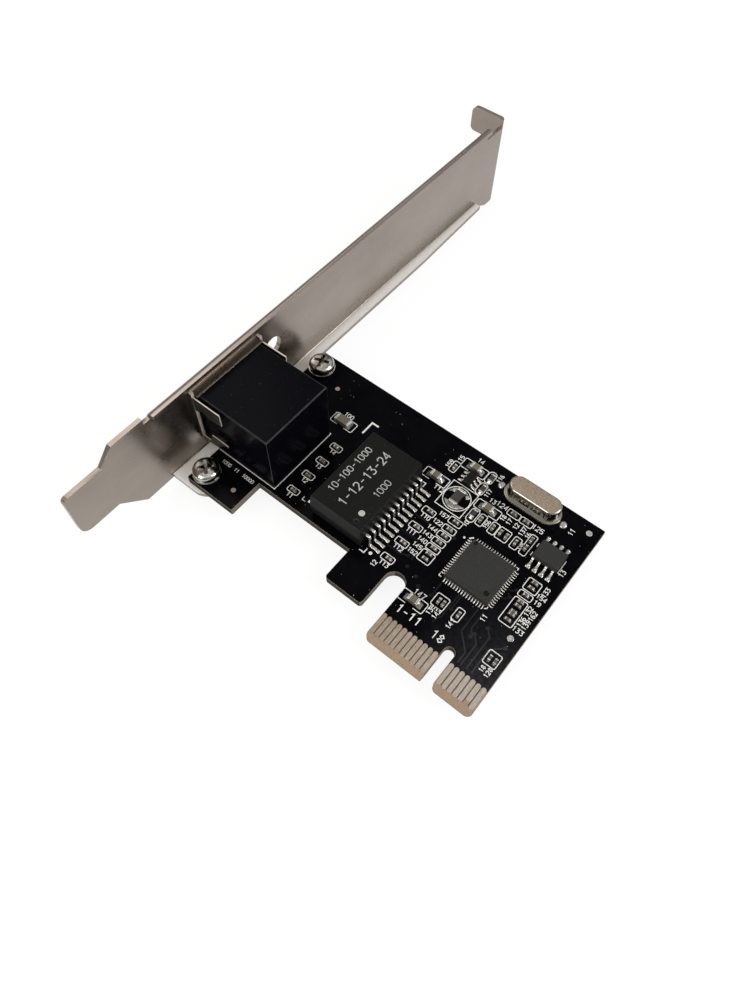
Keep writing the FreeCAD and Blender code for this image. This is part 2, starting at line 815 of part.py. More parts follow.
def make_transformer():
    z1 = TRANSFORMER_STANDOFF + TRANSFORMER_HEIGHT
    body = drafted_block(
        TRANSFORMER_WIDTH,
        TRANSFORMER_LENGTH,
        TRANSFORMER_STANDOFF,
        z1,
        TRANSFORMER_DRAFT,
    )
    exit_height = (TRANSFORMER_STANDOFF + z1) / 2
    lead = gull_wing(0, exit_height, LEAD_SHOULDER, LEAD_FOOT, LEAD_THICKNESS, LEAD_WIDTH)
    pad = box(LEAD_SHOULDER, LEAD_PAD_REACH, -LEAD_PAD_WIDTH / 2, LEAD_PAD_WIDTH / 2, 0, pad_top)
    places = row(TRANSFORMER_LEAD_COUNT, LEAD_PITCH)
    spot = (transformer_x, TRANSFORMER_RISE)
    half = TRANSFORMER_WIDTH / 2
    leads = two_sided_leads(lead, half, places, *spot, 0)
    pads = two_sided_leads(pad, half, places, *spot, 0)
    return turned(body, *spot, 0), leads, pads


def make_memory():
    z1 = MEMORY_STANDOFF + MEMORY_HEIGHT
    body = drafted_block(MEMORY_LENGTH, MEMORY_WIDTH, MEMORY_STANDOFF, z1, MEMORY_DRAFT)
    exit_height = (MEMORY_STANDOFF + z1) / 2
    lead = gull_wing(
        0, exit_height, MEMORY_SHOULDER, MEMORY_FOOT, MEMORY_LEAD_THICKNESS, MEMORY_LEAD_WIDTH
    )
    half_pad = MEMORY_PAD_WIDTH / 2
    pad = box(MEMORY_SHOULDER, MEMORY_PAD_REACH, -half_pad, half_pad, 0, pad_top)
    places = row(MEMORY_LEAD_COUNT, LEAD_PITCH)
    spot = (MEMORY_FROM_KEY, MEMORY_RISE)
    half = MEMORY_WIDTH / 2
    leads = two_sided_leads(lead, half, places, *spot, 1)
    pads = two_sided_leads(pad, half, places, *spot, 1)
    return turned(body, *spot, 0), leads, pads


def make_regulator():
    z1 = REGULATOR_STANDOFF + REGULATOR_HEIGHT
    body = drafted_block(
        REGULATOR_WIDTH, REGULATOR_LENGTH, REGULATOR_STANDOFF, z1, REGULATOR_DRAFT
    )
    exit_height = (REGULATOR_STANDOFF + z1) / 2
    lead = gull_wing(
        0,
        exit_height,
        REGULATOR_SHOULDER,
        REGULATOR_FOOT,
        REGULATOR_LEAD_THICKNESS,
        REGULATOR_LEAD_WIDTH,
    )
    half_pad = REGULATOR_PAD_WIDTH / 2
    pad = box(REGULATOR_SHOULDER, REGULATOR_PAD_REACH, -half_pad, half_pad, 0, pad_top)
    places = row(REGULATOR_LEAD_COUNT, REGULATOR_PITCH)
    spot = (-REGULATOR_TO_KEY, REGULATOR_RISE)
    half = REGULATOR_WIDTH / 2
    leads = two_sided_leads(lead, half, places, *spot, 0)
    pads = two_sided_leads(pad, half, places, *spot, 0)
    return turned(body, *spot, 0), leads, pads


def make_controller():
    """Flat leadless chip: a tapered body with its lead ends flush with the foot on four sides."""
    spot = (-CONTROLLER_TO_KEY, CONTROLLER_RISE)
    half = CONTROLLER_SIZE / 2
    body_half = CONTROLLER_CAP / 2
    z0 = pad_top
    z1 = z0 + CONTROLLER_BASE
    z2 = z0 + CONTROLLER_HEIGHT
    rings = []
    for height, less in ((z1, 0), (z2, CONTROLLER_TAPER)):
        a = body_half - less
        corners = [(-a, -a), (a, -a), (a, a), (-a, a), (-a, -a)]
        rings.append(Part.makePolygon([FreeCAD.Vector(p, q, height) for p, q in corners]))
    base = box(-body_half, body_half, -body_half, body_half, z0, z1)
    body = base.fuse(Part.makeLoft(rings, True, True)).removeSplitter()
    half_lead = CONTROLLER_LEAD_WIDTH / 2
    lead = box(body_half, half, -half_lead, half_lead, 0, z1)
    leads = []
    for side in range(4):
        for place in row(CONTROLLER_LEAD_COUNT, CONTROLLER_PITCH):
            copy = lead.copy()
            copy.translate(FreeCAD.Vector(0, place, 0))
            leads.append(turned(turned(copy, 0, 0, side), *spot, 0))
    return turned(body, *spot, 0), leads


def stadium(length, width, z0, z1):
    """Block with fully rounded ends, along X at the origin."""
    a = length / 2
    r = width / 2
    return level_plate([(-a, -r, r), (a, -r, r), (a, r, r), (-a, r, r)], z0, z1)


def make_crystal():
    spot = (-CRYSTAL_TO_KEY, CRYSTAL_RISE)
    base_top = pad_top + CRYSTAL_BASE_THICKNESS
    flange_top = base_top + CRYSTAL_FLANGE_THICKNESS
    can = stadium(CRYSTAL_LENGTH, CRYSTAL_WIDTH, flange_top, CRYSTAL_HEIGHT)
    upper = [e for e in can.Edges if all(abs(v.Z - CRYSTAL_HEIGHT) < 1e-6 for v in e.Vertexes)]
    can = can.makeChamfer(CRYSTAL_EDGE, upper)
    wide = 2 * CRYSTAL_FLANGE
    flange = stadium(CRYSTAL_LENGTH + wide, CRYSTAL_WIDTH + wide, base_top, flange_top)
    can = can.fuse(flange).removeSplitter()
    half = CRYSTAL_BASE_LENGTH / 2
    width = CRYSTAL_BASE_WIDTH / 2
    base = box(-half, half, -width, width, pad_top, base_top)
    half_lead = CRYSTAL_LEAD_WIDTH / 2
    half_pad = CRYSTAL_PAD_WIDTH / 2
    leads = []
    pads = []
    for side in (0, 2):
        lead = box(
            half, half + CRYSTAL_LEAD_REACH, -half_lead, half_lead, pad_top, pad_top + LEAD_THICKNESS
        )
        pad = box(half, half + CRYSTAL_PAD_LENGTH, -half_pad, half_pad, 0, pad_top)
        leads.append(turned(turned(lead, 0, 0, side), *spot, 0))
        pads.append(turned(turned(pad, 0, 0, side), *spot, 0))
    return turned(can, *spot, 0), turned(base, *spot, 0), leads, pads


def place_chips(size, pad_out, places):
    """Chip parts at places (x, y, quarter turns)."""
    bodies = []
    ends = []
    pads = []
    body, caps, lands = chip_parts(size, pad_out)
    for x, y, quarter in places:
        bodies.append(turned(body, x, y, quarter))
        ends += [turned(cap, x, y, quarter) for cap in caps]
        pads += [turned(land, x, y, quarter) for land in lands]
    return bodies, ends, pads


def tiny_places():
    by_socket = socket_rear + SOCKET_COLUMN
    by_transformer = transformer_x + transformer_pad_end + TRANSFORMER_COLUMN
    controller_edge = CONTROLLER_SIZE / 2
    by_controller = -CONTROLLER_TO_KEY - controller_edge - CONTROLLER_COLUMN
    far = -CONTROLLER_TO_KEY + controller_edge + FAR_COLUMN
    places = [(by_socket, y, 0) for y in TINY_BY_SOCKET]
    places += [(by_transformer, y, 0) for y in TINY_BY_TRANSFORMER]
    places += [(by_controller, y, 0) for y in TINY_BY_CONTROLLER]
    places += [(far, y, 0) for y in TINY_FAR]
    places += [(x, y, 1) for x, y in TINY_UPRIGHT]
    places += [(x, y, 0) for x, y in TINY_LEVEL]
    return places


def make_coil_pads():
    """Two tinned crescents at the foot and the head of the round coil footprint."""
    disc = cylinder(COIL_PAD_RADIUS, -COIL_TO_KEY, COIL_RISE, 0, pad_top)
    r = COIL_PAD_RADIUS
    inner = LARGE_CHIP[0] / 2 + LARGE_PAD
    middle = box(
        -COIL_TO_KEY - r, -COIL_TO_KEY + r, COIL_RISE - inner, COIL_RISE + inner, 0, pad_top
    )
    return disc.cut(middle).Solids


def make_socket_pins():
    """Ends of the socket's pins below the board, in two staggered rows."""
    half = SOCKET_PIN_WIDTH / 2
    pins = []
    for i, offset in enumerate(row(SPRING_COUNT, SOCKET_PIN_PITCH)):
        x = socket_rear - SOCKET_PINS_FROM_REAR - (i % 2) * SOCKET_PIN_ROWS
        y = SOCKET_MIDDLE + offset
        low = board_under - SOCKET_PIN_END
        pins.append(box(x - half, x + half, y - half, y + half, low, board_under))
    return pins


def save(name, solids):
    shape = Part.makeCompound(solids) if len(solids) > 1 else solids[0]
    shape.exportStep("parts/" + name + ".step")


def main():
    os.makedirs("parts", exist_ok=True)
    transformer, transformer_leads, pads = make_transformer()
    memory, memory_leads, memory_pads = make_memory()
    regulator, regulator_leads, regulator_pads = make_regulator()
    controller, controller_leads = make_controller()
    crystal, crystal_base, crystal_leads, crystal_pads = make_crystal()
    pads += memory_pads + regulator_pads + crystal_pads
    tiny = place_chips(TINY_CHIP, 0, tiny_places())
    medium = place_chips(MEDIUM_CHIP, MEDIUM_PAD, [(x, y, 0) for x, y in MEDIUM_LEVEL])
    resistors = place_chips(RESISTOR_CHIP, RESISTOR_PAD, [(x, y, 1) for x, y in RESISTORS])
    bulk_x = socket_rear + BULK_TO_SOCKET
    bulk = place_chips(LARGE_CHIP, LARGE_PAD, [(bulk_x, BULK_RISE, 0)])
    coil = place_chips(LARGE_CHIP, LARGE_PAD, [(-COIL_TO_KEY, COIL_RISE, 1)])
    for group in (tiny, medium, resistors, bulk, coil):
        pads += group[2]
    pads += make_coil_pads()
    save("circuit_board", [make_board()])
    save("mounting_bracket", [make_bracket()])
    save("bracket_screws", [make_screw(y) for y in screw_rises])
    save("socket_housing", [make_socket()])
    save("socket_contact_block", [make_insert()])
    save("socket_contacts", make_springs())
    last = LONG_SIDE_CONTACTS + SHORT_SIDE_CONTACTS - 2
    save("bus_contacts_component_side", make_contacts([last], 0, CONTACT_FOIL))
    save("bus_contacts_solder_side", make_contacts([0], board_under - CONTACT_FOIL, board_under))
    save("transformer_body", [transformer])
    save("transformer_leads", transformer_leads)
    save("controller_body", [controller])
    save("controller_leads", controller_leads)
    save("memory_body", [memory])
    save("memory_leads", memory_leads)
    save("crystal_can", [crystal])
    save("crystal_base", [crystal_base])
    save("crystal_leads", crystal_leads)
    save("regulator_body", [regulator])
    save("regulator_leads", regulator_leads)
    save("small_capacitor_bodies", tiny[0])
    save("small_capacitor_terminals", tiny[1])
    save("medium_capacitor_bodies", medium[0])
    save("medium_capacitor_terminals", medium[1])
    save("resistor_bodies", resistors[0])
    save("resistor_terminals", resistors[1])
    save("bulk_capacitor_body", bulk[0])
    save("bulk_capacitor_terminals", bulk[1])
    save("coil_body", coil[0])
    save("coil_terminals", coil[1])
    save("solder_pads", pads)
    save("socket_pins", make_socket_pins())


main()
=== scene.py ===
import math

import bmesh
import bpy
from mathutils import Euler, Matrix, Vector


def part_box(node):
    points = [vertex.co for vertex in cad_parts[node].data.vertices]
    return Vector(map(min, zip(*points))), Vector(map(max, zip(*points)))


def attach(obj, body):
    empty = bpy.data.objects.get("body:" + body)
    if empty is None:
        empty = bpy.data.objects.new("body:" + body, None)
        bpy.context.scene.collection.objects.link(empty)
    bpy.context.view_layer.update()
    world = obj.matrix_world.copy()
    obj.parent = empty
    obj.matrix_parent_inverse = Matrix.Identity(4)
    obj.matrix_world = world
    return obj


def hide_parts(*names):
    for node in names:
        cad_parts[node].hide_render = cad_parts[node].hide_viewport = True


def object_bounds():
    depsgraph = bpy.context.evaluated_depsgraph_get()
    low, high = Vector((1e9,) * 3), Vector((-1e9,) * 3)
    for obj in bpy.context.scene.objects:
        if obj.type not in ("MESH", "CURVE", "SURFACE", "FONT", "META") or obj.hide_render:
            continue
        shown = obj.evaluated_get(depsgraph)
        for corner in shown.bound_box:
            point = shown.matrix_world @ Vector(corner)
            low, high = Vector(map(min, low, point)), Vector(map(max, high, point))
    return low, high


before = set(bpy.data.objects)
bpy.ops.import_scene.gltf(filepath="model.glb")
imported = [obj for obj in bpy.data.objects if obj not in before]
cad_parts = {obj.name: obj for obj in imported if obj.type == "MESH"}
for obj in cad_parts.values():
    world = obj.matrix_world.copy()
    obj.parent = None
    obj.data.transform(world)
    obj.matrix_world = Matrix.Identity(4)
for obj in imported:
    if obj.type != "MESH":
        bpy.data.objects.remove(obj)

cad_low, cad_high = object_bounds()

# All places below are in millimetres in the row frame, and MM turns them into metres.
MM = 0.001

# Camera, solved from the photograph
CAMERA_PLACE = (14.05, -37.40, 113.01)
CAMERA_TURN = (30.2595, -0.8473, 38.7005)
CAMERA_LENS = 27.416

# Heights of thin layers above the board's component face
INK_LOW = 0.001
INK_TOP = 0.02
RELIEF_TOP = 0.03
SOLDER_LAND = 0.035

# Widths of the printed lines
FINE_LINE = 0.15
FRAME_LINE = 0.145
NUMBER_LINE = 0.13
BOLD_LINE = 0.34

# The bracket's lip under the board, painted pale as light with painted shade at its fold: X from its fold
# inward, and Y from its far to its near part, where the painted light is brighter
LIP_FOLD = (-57.5, -55.4)
LIP_NEAR = (13.0, 6.0)

# The crystal: top of its rim, which is darker than its case, and height above which its lid lies
CRYSTAL_RIM_TOP = 1.0
CRYSTAL_LID = 2.0

# The tongue: where the solder mask ends between the bus contacts, where the tip with its tan edge
# begins, and the X left of which the mask covers the board down to its edge
MASK_END = -0.32
TONGUE_TIP = -4.3
EAR_END = -15.6

# Painted sheen that makes the board's lower right corner look lighter: how it grows in X and in Y
SHEEN_CORNER_X = (-6.0, 6.0)
SHEEN_CORNER_Y = (15.0, 1.0)

# X over which the bus contacts turn from tan to pale
CONTACT_FADE = (-12.0, 4.0)

# Points of a CAD mesh that lie closer than this, in metres, are joined.
WELD = 1e-7


def mm_box(node):
    """Lowest and highest corner of a CAD node, in millimetres."""
    low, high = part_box(node)
    return Vector(low) / MM, Vector(high) / MM


def welded(node):
    """A bmesh of a CAD node with its points joined."""
    bm = bmesh.new()
    bm.from_mesh(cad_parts[node].data)
    bmesh.ops.remove_doubles(bm, verts=bm.verts, dist=WELD)
    return bm


def islands(node):
    """Boxes of the separate solids in a CAD node, in millimetres, as (low, high)."""
    bm = welded(node)
    unseen = set(bm.verts)
    boxes = []
    for start in bm.verts:
        if start not in unseen:
            continue
        unseen.remove(start)
        group = [start]
        for vert in group:
            for edge in vert.link_edges:
                other = edge.other_vert(vert)
                if other in unseen:
                    unseen.remove(other)
                    group.append(other)
        axes = list(zip(*(vert.co for vert in group)))
        boxes.append((Vector(map(min, axes)) / MM, Vector(map(max, axes)) / MM))
    bm.free()
    return boxes


# Node helpers

def rgba(color):
    """Four channels from a colour or a grey number."""
    return (color, color, color, 1) if isinstance(color, (int, float)) else (*color, 1)


class Nodes:
    """Short calls for the nodes of a material or of the world."""

    def __init__(self, owner):
        owner.use_nodes = True
        self.tree = owner.node_tree
        self.tree.nodes.clear()

    def add(self, kind, inputs, **settings):
        """A new node; inputs gives its sockets, by name or number, a value or another node's output."""
        node = self.tree.nodes.new("ShaderNode" + kind)
        for key, value in settings.items():
            setattr(node, key, value)
        for key, value in inputs.items():
            socket = node.inputs[key]
            if isinstance(value, bpy.types.NodeSocket):
                self.link(value, socket)
            else:
                socket.default_value = rgba(value) if socket.type == "RGBA" else value
        return node

    def link(self, source, target):
        self.tree.links.new(source, target)

    def ramp(self, factor, stops):
        """stops is a list of (place, color or grey)."""
        ramp = self.add("ValToRGB", {"Fac": factor})
        elements = ramp.color_ramp.elements
        while len(elements) < len(stops):
            elements.new(0.5)
        for element, (place, color) in zip(elements, stops):
            element.position = place
            element.color = rgba(color)
        return ramp.outputs["Color"]

    def blend(self, factor, first, second):
        """Mixes the shaders of two nodes."""
        return self.add("MixShader", {0: factor, 1: first.outputs[0], 2: second.outputs[0]}).outputs[0]


class Shader(Nodes):
    """A Principled material with short calls for its procedural inputs."""

    def __init__(self, name, roughness=0.5, metallic=0.0, specular=0.5):
        self.material = bpy.data.materials.new(name)
        super().__init__(self.material)
        finish = {"Roughness": roughness, "Metallic": metallic, "Specular IOR Level": specular}
        self.bsdf = self.add("BsdfPrincipled", finish)
        self.output = self.add("OutputMaterial", {0: self.bsdf.outputs[0]})

    def place(self, scale=(1, 1, 1)):
        """Object coordinates in millimetres, stretched by scale."""
        source = self.add("TexCoord", {}).outputs["Object"]
        return self.add("Mapping", {"Vector": source, "Scale": [s / MM for s in scale]}).outputs[0]

    def noise(self, scale, detail=3.0, roughness=0.55):
        """Noise over the object, with one scale for all axes or one for each."""
        place = self.place(scale if isinstance(scale, tuple) else (scale, scale, scale))
        settings = {"Vector": place, "Scale": 1.0, "Detail": detail, "Roughness": roughness}
        return self.add("TexNoise", settings).outputs["Fac"]

    def tones(self, factor, first, second, low=0.3, high=0.7):
        """Runs from the first colour at low to the second at high."""
        return self.ramp(factor, [(low, first), (high, second)])

    def mix(self, factor, first, second):
        return self.add("Mix", {"Factor": factor, 6: first, 7: second}, data_type="RGBA").outputs[2]

    def math(self, operation, first, second=0.0):
        return self.add("Math", {0: first, 1: second}, operation=operation).outputs[0]

    def axis(self, name):
        """One object coordinate in millimetres."""
        return self.add("SeparateXYZ", {0: self.place()}).outputs[name]

    def facing(self, name):
        """One part of the true normal."""
        normal = self.add("NewGeometry", {}).outputs["True Normal"]
        return self.add("SeparateXYZ", {0: normal}).outputs[name]

    def span(self, value, low, high):
        """Runs from 0 at low to 1 at high and stays within them."""
        return self.add("MapRange", {"Value": value, "From Min": low, "From Max": high}).outputs[0]

    def specks(self, scale, size, share):
        """Mask of small round specks of dust; share says how many cells hold one."""
        cells = self.add("TexVoronoi", {"Vector": self.place(), "Scale": scale}).outputs
        chance = self.add("SeparateColor", {0: cells["Color"]}).outputs
        present = self.math("LESS_THAN", chance[0], share)
        inside = self.math("LESS_THAN", cells["Distance"], self.math("MULTIPLY", chance[1], size))
        return self.math("MULTIPLY", present, inside)

    def bump(self, height, strength, distance):
        """Surface relief; distance is in millimetres."""
        bump = self.add("Bump", {"Height": height, "Strength": strength, "Distance": distance * MM})
        self.link(bump.outputs[0], self.bsdf.inputs["Normal"])

    def color(self, source):
        self.link(source, self.bsdf.inputs["Base Color"])

    def roughness(self, source):
        self.link(source, self.bsdf.inputs["Roughness"])

    def less_metal(self, mask, share):
        """Takes a share of the metallic look away inside mask."""
        metal = self.math("SUBTRACT", 1.0, self.math("MULTIPLY", mask, share))
        self.link(metal, self.bsdf.inputs["Metallic"])


# Materials

def steel_material():
    """Nickel-plated sheet steel, warm grey and satin; the lip under the board is painted pale as light, with
    painted shade at its fold.
    """
    m = Shader("satin_nickel", metallic=1.0)
    plain = m.tones(m.noise((0.07, 0.05, 0.09), 4.0), (0.262, 0.222, 0.194), (0.318, 0.278, 0.244))
    upward = m.math("GREATER_THAN", m.facing("Z"), 0.9)
    lip = m.math("MULTIPLY", upward, m.math("LESS_THAN", m.axis("Z"), -1.0))
    fold = m.span(m.axis("X"), *LIP_FOLD)
    # Painted light on the lip: dark at the fold as painted shade, pale further out, and brighter on the near
    # part, which lies in the board's shadow
    far = m.ramp(fold, [(0.0, (0.30, 0.265, 0.23)), (0.25, (0.60, 0.575, 0.54)), (0.6, (0.72, 0.70, 0.67))])
    near = m.ramp(fold, [(0.0, (0.45, 0.41, 0.37)), (0.2, (0.86, 0.835, 0.80)), (0.6, (0.95, 0.93, 0.90))])
    m.color(m.mix(lip, plain, m.mix(m.span(m.axis("Y"), *LIP_NEAR), far, near)))
    m.less_metal(lip, 0.88)
    m.roughness(m.tones(m.noise(0.12), 0.24, 0.32))
    return m.material


def flange_material():
    """Ground flanges beside the socket: dark sides as painted shade, and cut edges painted pale as
    highlight.
    """
    m = Shader("ground_flange_painted_light", 0.45)
    tone = m.noise(1.2)
    # side is painted shade on the flanges' sides, pale is a painted highlight on their cut edges
    side = m.tones(tone, (0.022, 0.0235, 0.020), (0.046, 0.048, 0.041))
    pale = m.tones(tone, (0.40, 0.35, 0.29), (0.52, 0.46, 0.39))
    # Faces towards +X or upward get the painted highlight and lose most of their metal; the other faces keep
    # the painted shade
    cut = m.math("GREATER_THAN", m.math("MAXIMUM", m.facing("X"), m.facing("Z")), 0.5)
    m.color(m.mix(cut, side, pale))
    m.less_metal(cut, 0.8)
    return m.material


def screw_material():
    m = Shader("screw_plating", metallic=1.0)
    wear = m.noise(1.4, 4.0)
    m.color(m.tones(wear, (0.30, 0.285, 0.26), (0.60, 0.58, 0.54), 0.35))
    m.roughness(m.tones(wear, 0.09, 0.22, 0.3, 0.8))
    m.bump(m.noise(1.6), 0.35, 0.06)
    return m.material


def socket_material():
    """Moulded black plastic, glossy, with dust and fine scuffs."""
    m = Shader("socket_plastic")
    m.bsdf.inputs["IOR"].default_value = 1.085
    m.color(m.mix(m.specks(2.6, 0.11, 0.4), (0.0018, 0.0018, 0.003), 0.11))
    m.roughness(m.tones(m.noise(0.3), 0.14, 0.2))
    m.bump(m.noise(0.2, 2.0), 0.2, 0.04)
    return m.material


def compound_material(name, grey, roughness, specular):
    """Moulding compound: charcoal, matte and finely speckled."""
    m = Shader(name, roughness, 0.0, specular)
    low = grey * 0.7
    high = grey * 1.4
    speckle = m.noise(6.0, 3.0, 0.8)
    ground = m.tones(speckle, (low, low, low * 1.02), (high, high, high * 0.96))
    m.color(m.mix(m.specks(2.0, 0.09, 0.3), ground, (0.12, 0.12, 0.11)))
    m.bump(m.noise(11.0, 2.0), 0.35, 0.012)
    return m.material


def sheen_corner_mask(m):
    """Painted sheen that grows towards the board's lower right corner."""
    return m.math("MULTIPLY", m.span(m.axis("X"), *SHEEN_CORNER_X), m.span(m.axis("Y"), *SHEEN_CORNER_Y))


def board_material():
    """The board: gloss black solder mask above the bus contacts, bare tan laminate elsewhere."""
    m = Shader("board_finish", specular=0.02)
    y = m.axis("Y")
    level = m.math("ABSOLUTE", m.facing("Z"))
    flat = m.math("GREATER_THAN", level, 0.98)
    above = m.math("GREATER_THAN", y, MASK_END)
    ear = m.math("LESS_THAN", m.axis("X"), EAR_END)
    masked = m.math("MULTIPLY", flat, m.math("MAXIMUM", above, ear))
    weave = m.noise((4.0, 4.0, 14.0))
    tan = m.tones(weave, (0.20, 0.145, 0.10), (0.28, 0.21, 0.15))
    edge = m.tones(weave, (0.018, 0.018, 0.015), (0.055, 0.054, 0.046))
    # Painted highlight: cut edges facing +X are lighter than the other edges
    edge = m.mix(m.math("GREATER_THAN", m.facing("X"), 0.5), edge, (0.14, 0.125, 0.10))
    edge = m.mix(m.math("LESS_THAN", y, TONGUE_TIP), edge, tan)
    laminate = m.mix(m.math("GREATER_THAN", level, 0.2), edge, tan)
    black = m.tones(m.noise(0.25), (0.0006, 0.0006, 0.001), (0.002, 0.002, 0.003))
    # Painted sheen: the black mask turns grey towards the lower right corner
    sheen_grey = m.tones(m.noise(1.1, 4.0, 0.7), (0.008, 0.008, 0.009), (0.02, 0.02, 0.022), 0.35, 0.65)
    finish = m.mix(sheen_corner_mask(m), black, sheen_grey)
    m.color(m.mix(masked, laminate, m.mix(m.specks(1.3, 0.10, 0.45), finish, 0.24)))
    m.roughness(m.tones(masked, 0.6, 0.18, 0.0, 1.0))
    m.bump(m.noise(0.5, 4.0, 0.6), 0.15, 0.03)
    return m.material


def relief_material():
    """Solder mask over copper, a shade lighter than over bare laminate, with painted sheen towards the
    board's lower right corner.
    """
    m = Shader("mask_over_copper", 0.2, 0.0, 0.1)
    black = m.tones(m.noise(0.7), (0.002, 0.002, 0.003), (0.006, 0.006, 0.007))
    # Painted sheen towards the lower right corner
    m.color(m.mix(sheen_corner_mask(m), black, (0.032, 0.032, 0.034)))
    return m.material


def tin_material():
    """Solder and tinned leads."""
    m = Shader("tinned_metal", metallic=0.8)
    flow = m.noise(1.6)
    m.color(m.tones(flow, (0.27, 0.26, 0.24), (0.58, 0.56, 0.53)))
    m.roughness(m.tones(flow, 0.14, 0.3))
    m.bump(m.noise(2.5, 2.0), 0.12, 0.03)
    return m.material


def contact_material():
    """Thinly plated bus contacts, pale and slightly tan, with insertion scratches."""
    m = Shader("bus_contact_plating", metallic=0.85)
    drag = m.noise((7.0, 0.9, 1.0), 4.0, 0.7)
    tan = m.tones(drag, (0.22, 0.17, 0.125), (0.38, 0.31, 0.245))
    pale = m.tones(drag, (0.34, 0.295, 0.25), (0.52, 0.47, 0.42))
    m.color(m.mix(m.span(m.axis("X"), *CONTACT_FADE), tan, pale))
    m.roughness(m.tones(drag, 0.26, 0.46))
    return m.material


def crystal_material():
    """Warm nickel silver: speckled on its lid and bright on its sides."""
    m = Shader("crystal_case", metallic=1.0)
    height = m.axis("Z")
    top = m.math("GREATER_THAN", m.facing("Z"), 0.995)
    lid = m.math("MULTIPLY", top, m.math("GREATER_THAN", height, CRYSTAL_LID))
    grain = m.noise(4.5, 5.0, 0.85)
    speckled = m.tones(grain, (0.205, 0.16, 0.12), (0.465, 0.38, 0.295), 0.38, 0.62)
    bright = m.tones(grain, (0.27, 0.245, 0.21), (0.40, 0.365, 0.32))
    rim = m.tones(grain, (0.15, 0.146, 0.12), (0.26, 0.25, 0.21))
    walls = m.mix(m.math("LESS_THAN", height, CRYSTAL_RIM_TOP), bright, rim)
    m.color(m.mix(lid, walls, speckled))
    m.roughness(m.mix(top, 0.19, 0.42))
    m.bump(m.math("MULTIPLY", grain, top), 0.25, 0.03)
    return m.material


def toned_material(name, tones, scale, roughness, metallic=0.0, specular=0.5, detail=3.0, grain=0.0):
    """A plain material whose colour drifts between two tones, with a fine grain if asked for."""
    m = Shader(name, roughness, metallic, specular)
    m.color(m.tones(m.noise(scale, detail), *tones))
    if grain:
        m.bump(m.noise(grain, 2.0), 0.2, 0.01)
    return m.material


def ceramic_material(name, low, high, roughness):
    return toned_material(name, (low, high), 3.5, roughness, specular=0.4, grain=9.0)


def plain_materials():
    """Painted edge highlights, and printing, pads and springs, which need no more than two tones."""
    # Tones of the painted edge highlights on steel and on plastic
    steel_highlight_tones = ((0.60, 0.56, 0.51), (0.86, 0.82, 0.77))
    plastic_highlight_tones = ((0.002, 0.002, 0.003), (0.024, 0.024, 0.025))
    # Painted shade for the dark lines between the bus contacts
    gap_shade_tones = ((0.035, 0.027, 0.02), (0.08, 0.06, 0.045))
    worn_white = ((0.40, 0.40, 0.39), (0.64, 0.64, 0.62), 0.3, 0.6)
    dull_tin = ((0.16, 0.155, 0.145), (0.44, 0.43, 0.405), 0.35, 0.65)
    gold = ((0.70, 0.50, 0.22), (0.88, 0.70, 0.36))
    laser_grey = ((0.24, 0.24, 0.23), (0.42, 0.42, 0.40))
    return {
        "steel_edge_highlight": toned_material("steel_painted_edge_highlight", steel_highlight_tones, 0.8, 0.3, 0.7),
        "plastic_edge_highlight": toned_material("plastic_painted_edge_highlight", plastic_highlight_tones, 1.1, 0.4, 0.0, 0.25, 4.0),
        "gap": toned_material("contact_gap_painted_shade", gap_shade_tones, 4.0, 0.7, 0.0, 0.2),
        "ink": toned_material("white_ink", worn_white, 3.0, 0.6, 0.0, 0.3),
        "pad": toned_material("tinned_pad", dull_tin, 1.3, 0.4, 0.35),
        "spring": toned_material("gold_spring", gold, 2.0, 0.22, 1.0, 0.5, 2.0),
        "print": toned_material("laser_mark", laser_grey, 5.0, 0.7, 0.0, 0.3, 2.0),
    }


MATERIALS = {
    "steel": steel_material(),
    "flange": flange_material(),
    "screw": screw_material(),
    "socket": socket_material(),
    "insert": compound_material("insert_plastic", 0.004, 0.45, 0.1),
    "transformer": compound_material("transformer_compound", 0.0068, 0.42, 0.05),
    "chip": compound_material("chip_compound", 0.022, 0.5, 0.1),
    "board": board_material(),
    "relief": relief_material(),
    "tin": tin_material(),
    "contact": contact_material(),
    "crystal": crystal_material(),
    "tan_ceramic": ceramic_material("tan_ceramic", (0.07, 0.06, 0.04), (0.115, 0.10, 0.068), 0.45),
    "small_ceramic": ceramic_material("small_ceramic", (0.045, 0.038, 0.03), (0.10, 0.085, 0.065), 0.45),
    "black_ceramic": ceramic_material("black_ceramic", (0.012, 0.011, 0.010), (0.03, 0.027, 0.024), 0.35),
    **plain_materials(),
}

# Materials whose softened edges take another material, a painted edge highlight
EDGE_MATERIALS = {"steel": "steel_edge_highlight", "socket": "plastic_edge_highlight", "transformer": "plastic_edge_highlight"}


# Mesh helpers

# Angle between the rings of a dome, whose last ring lies just short of the top and is closed flat
DOME_STEP = math.pi / 2 * 0.94 / 3


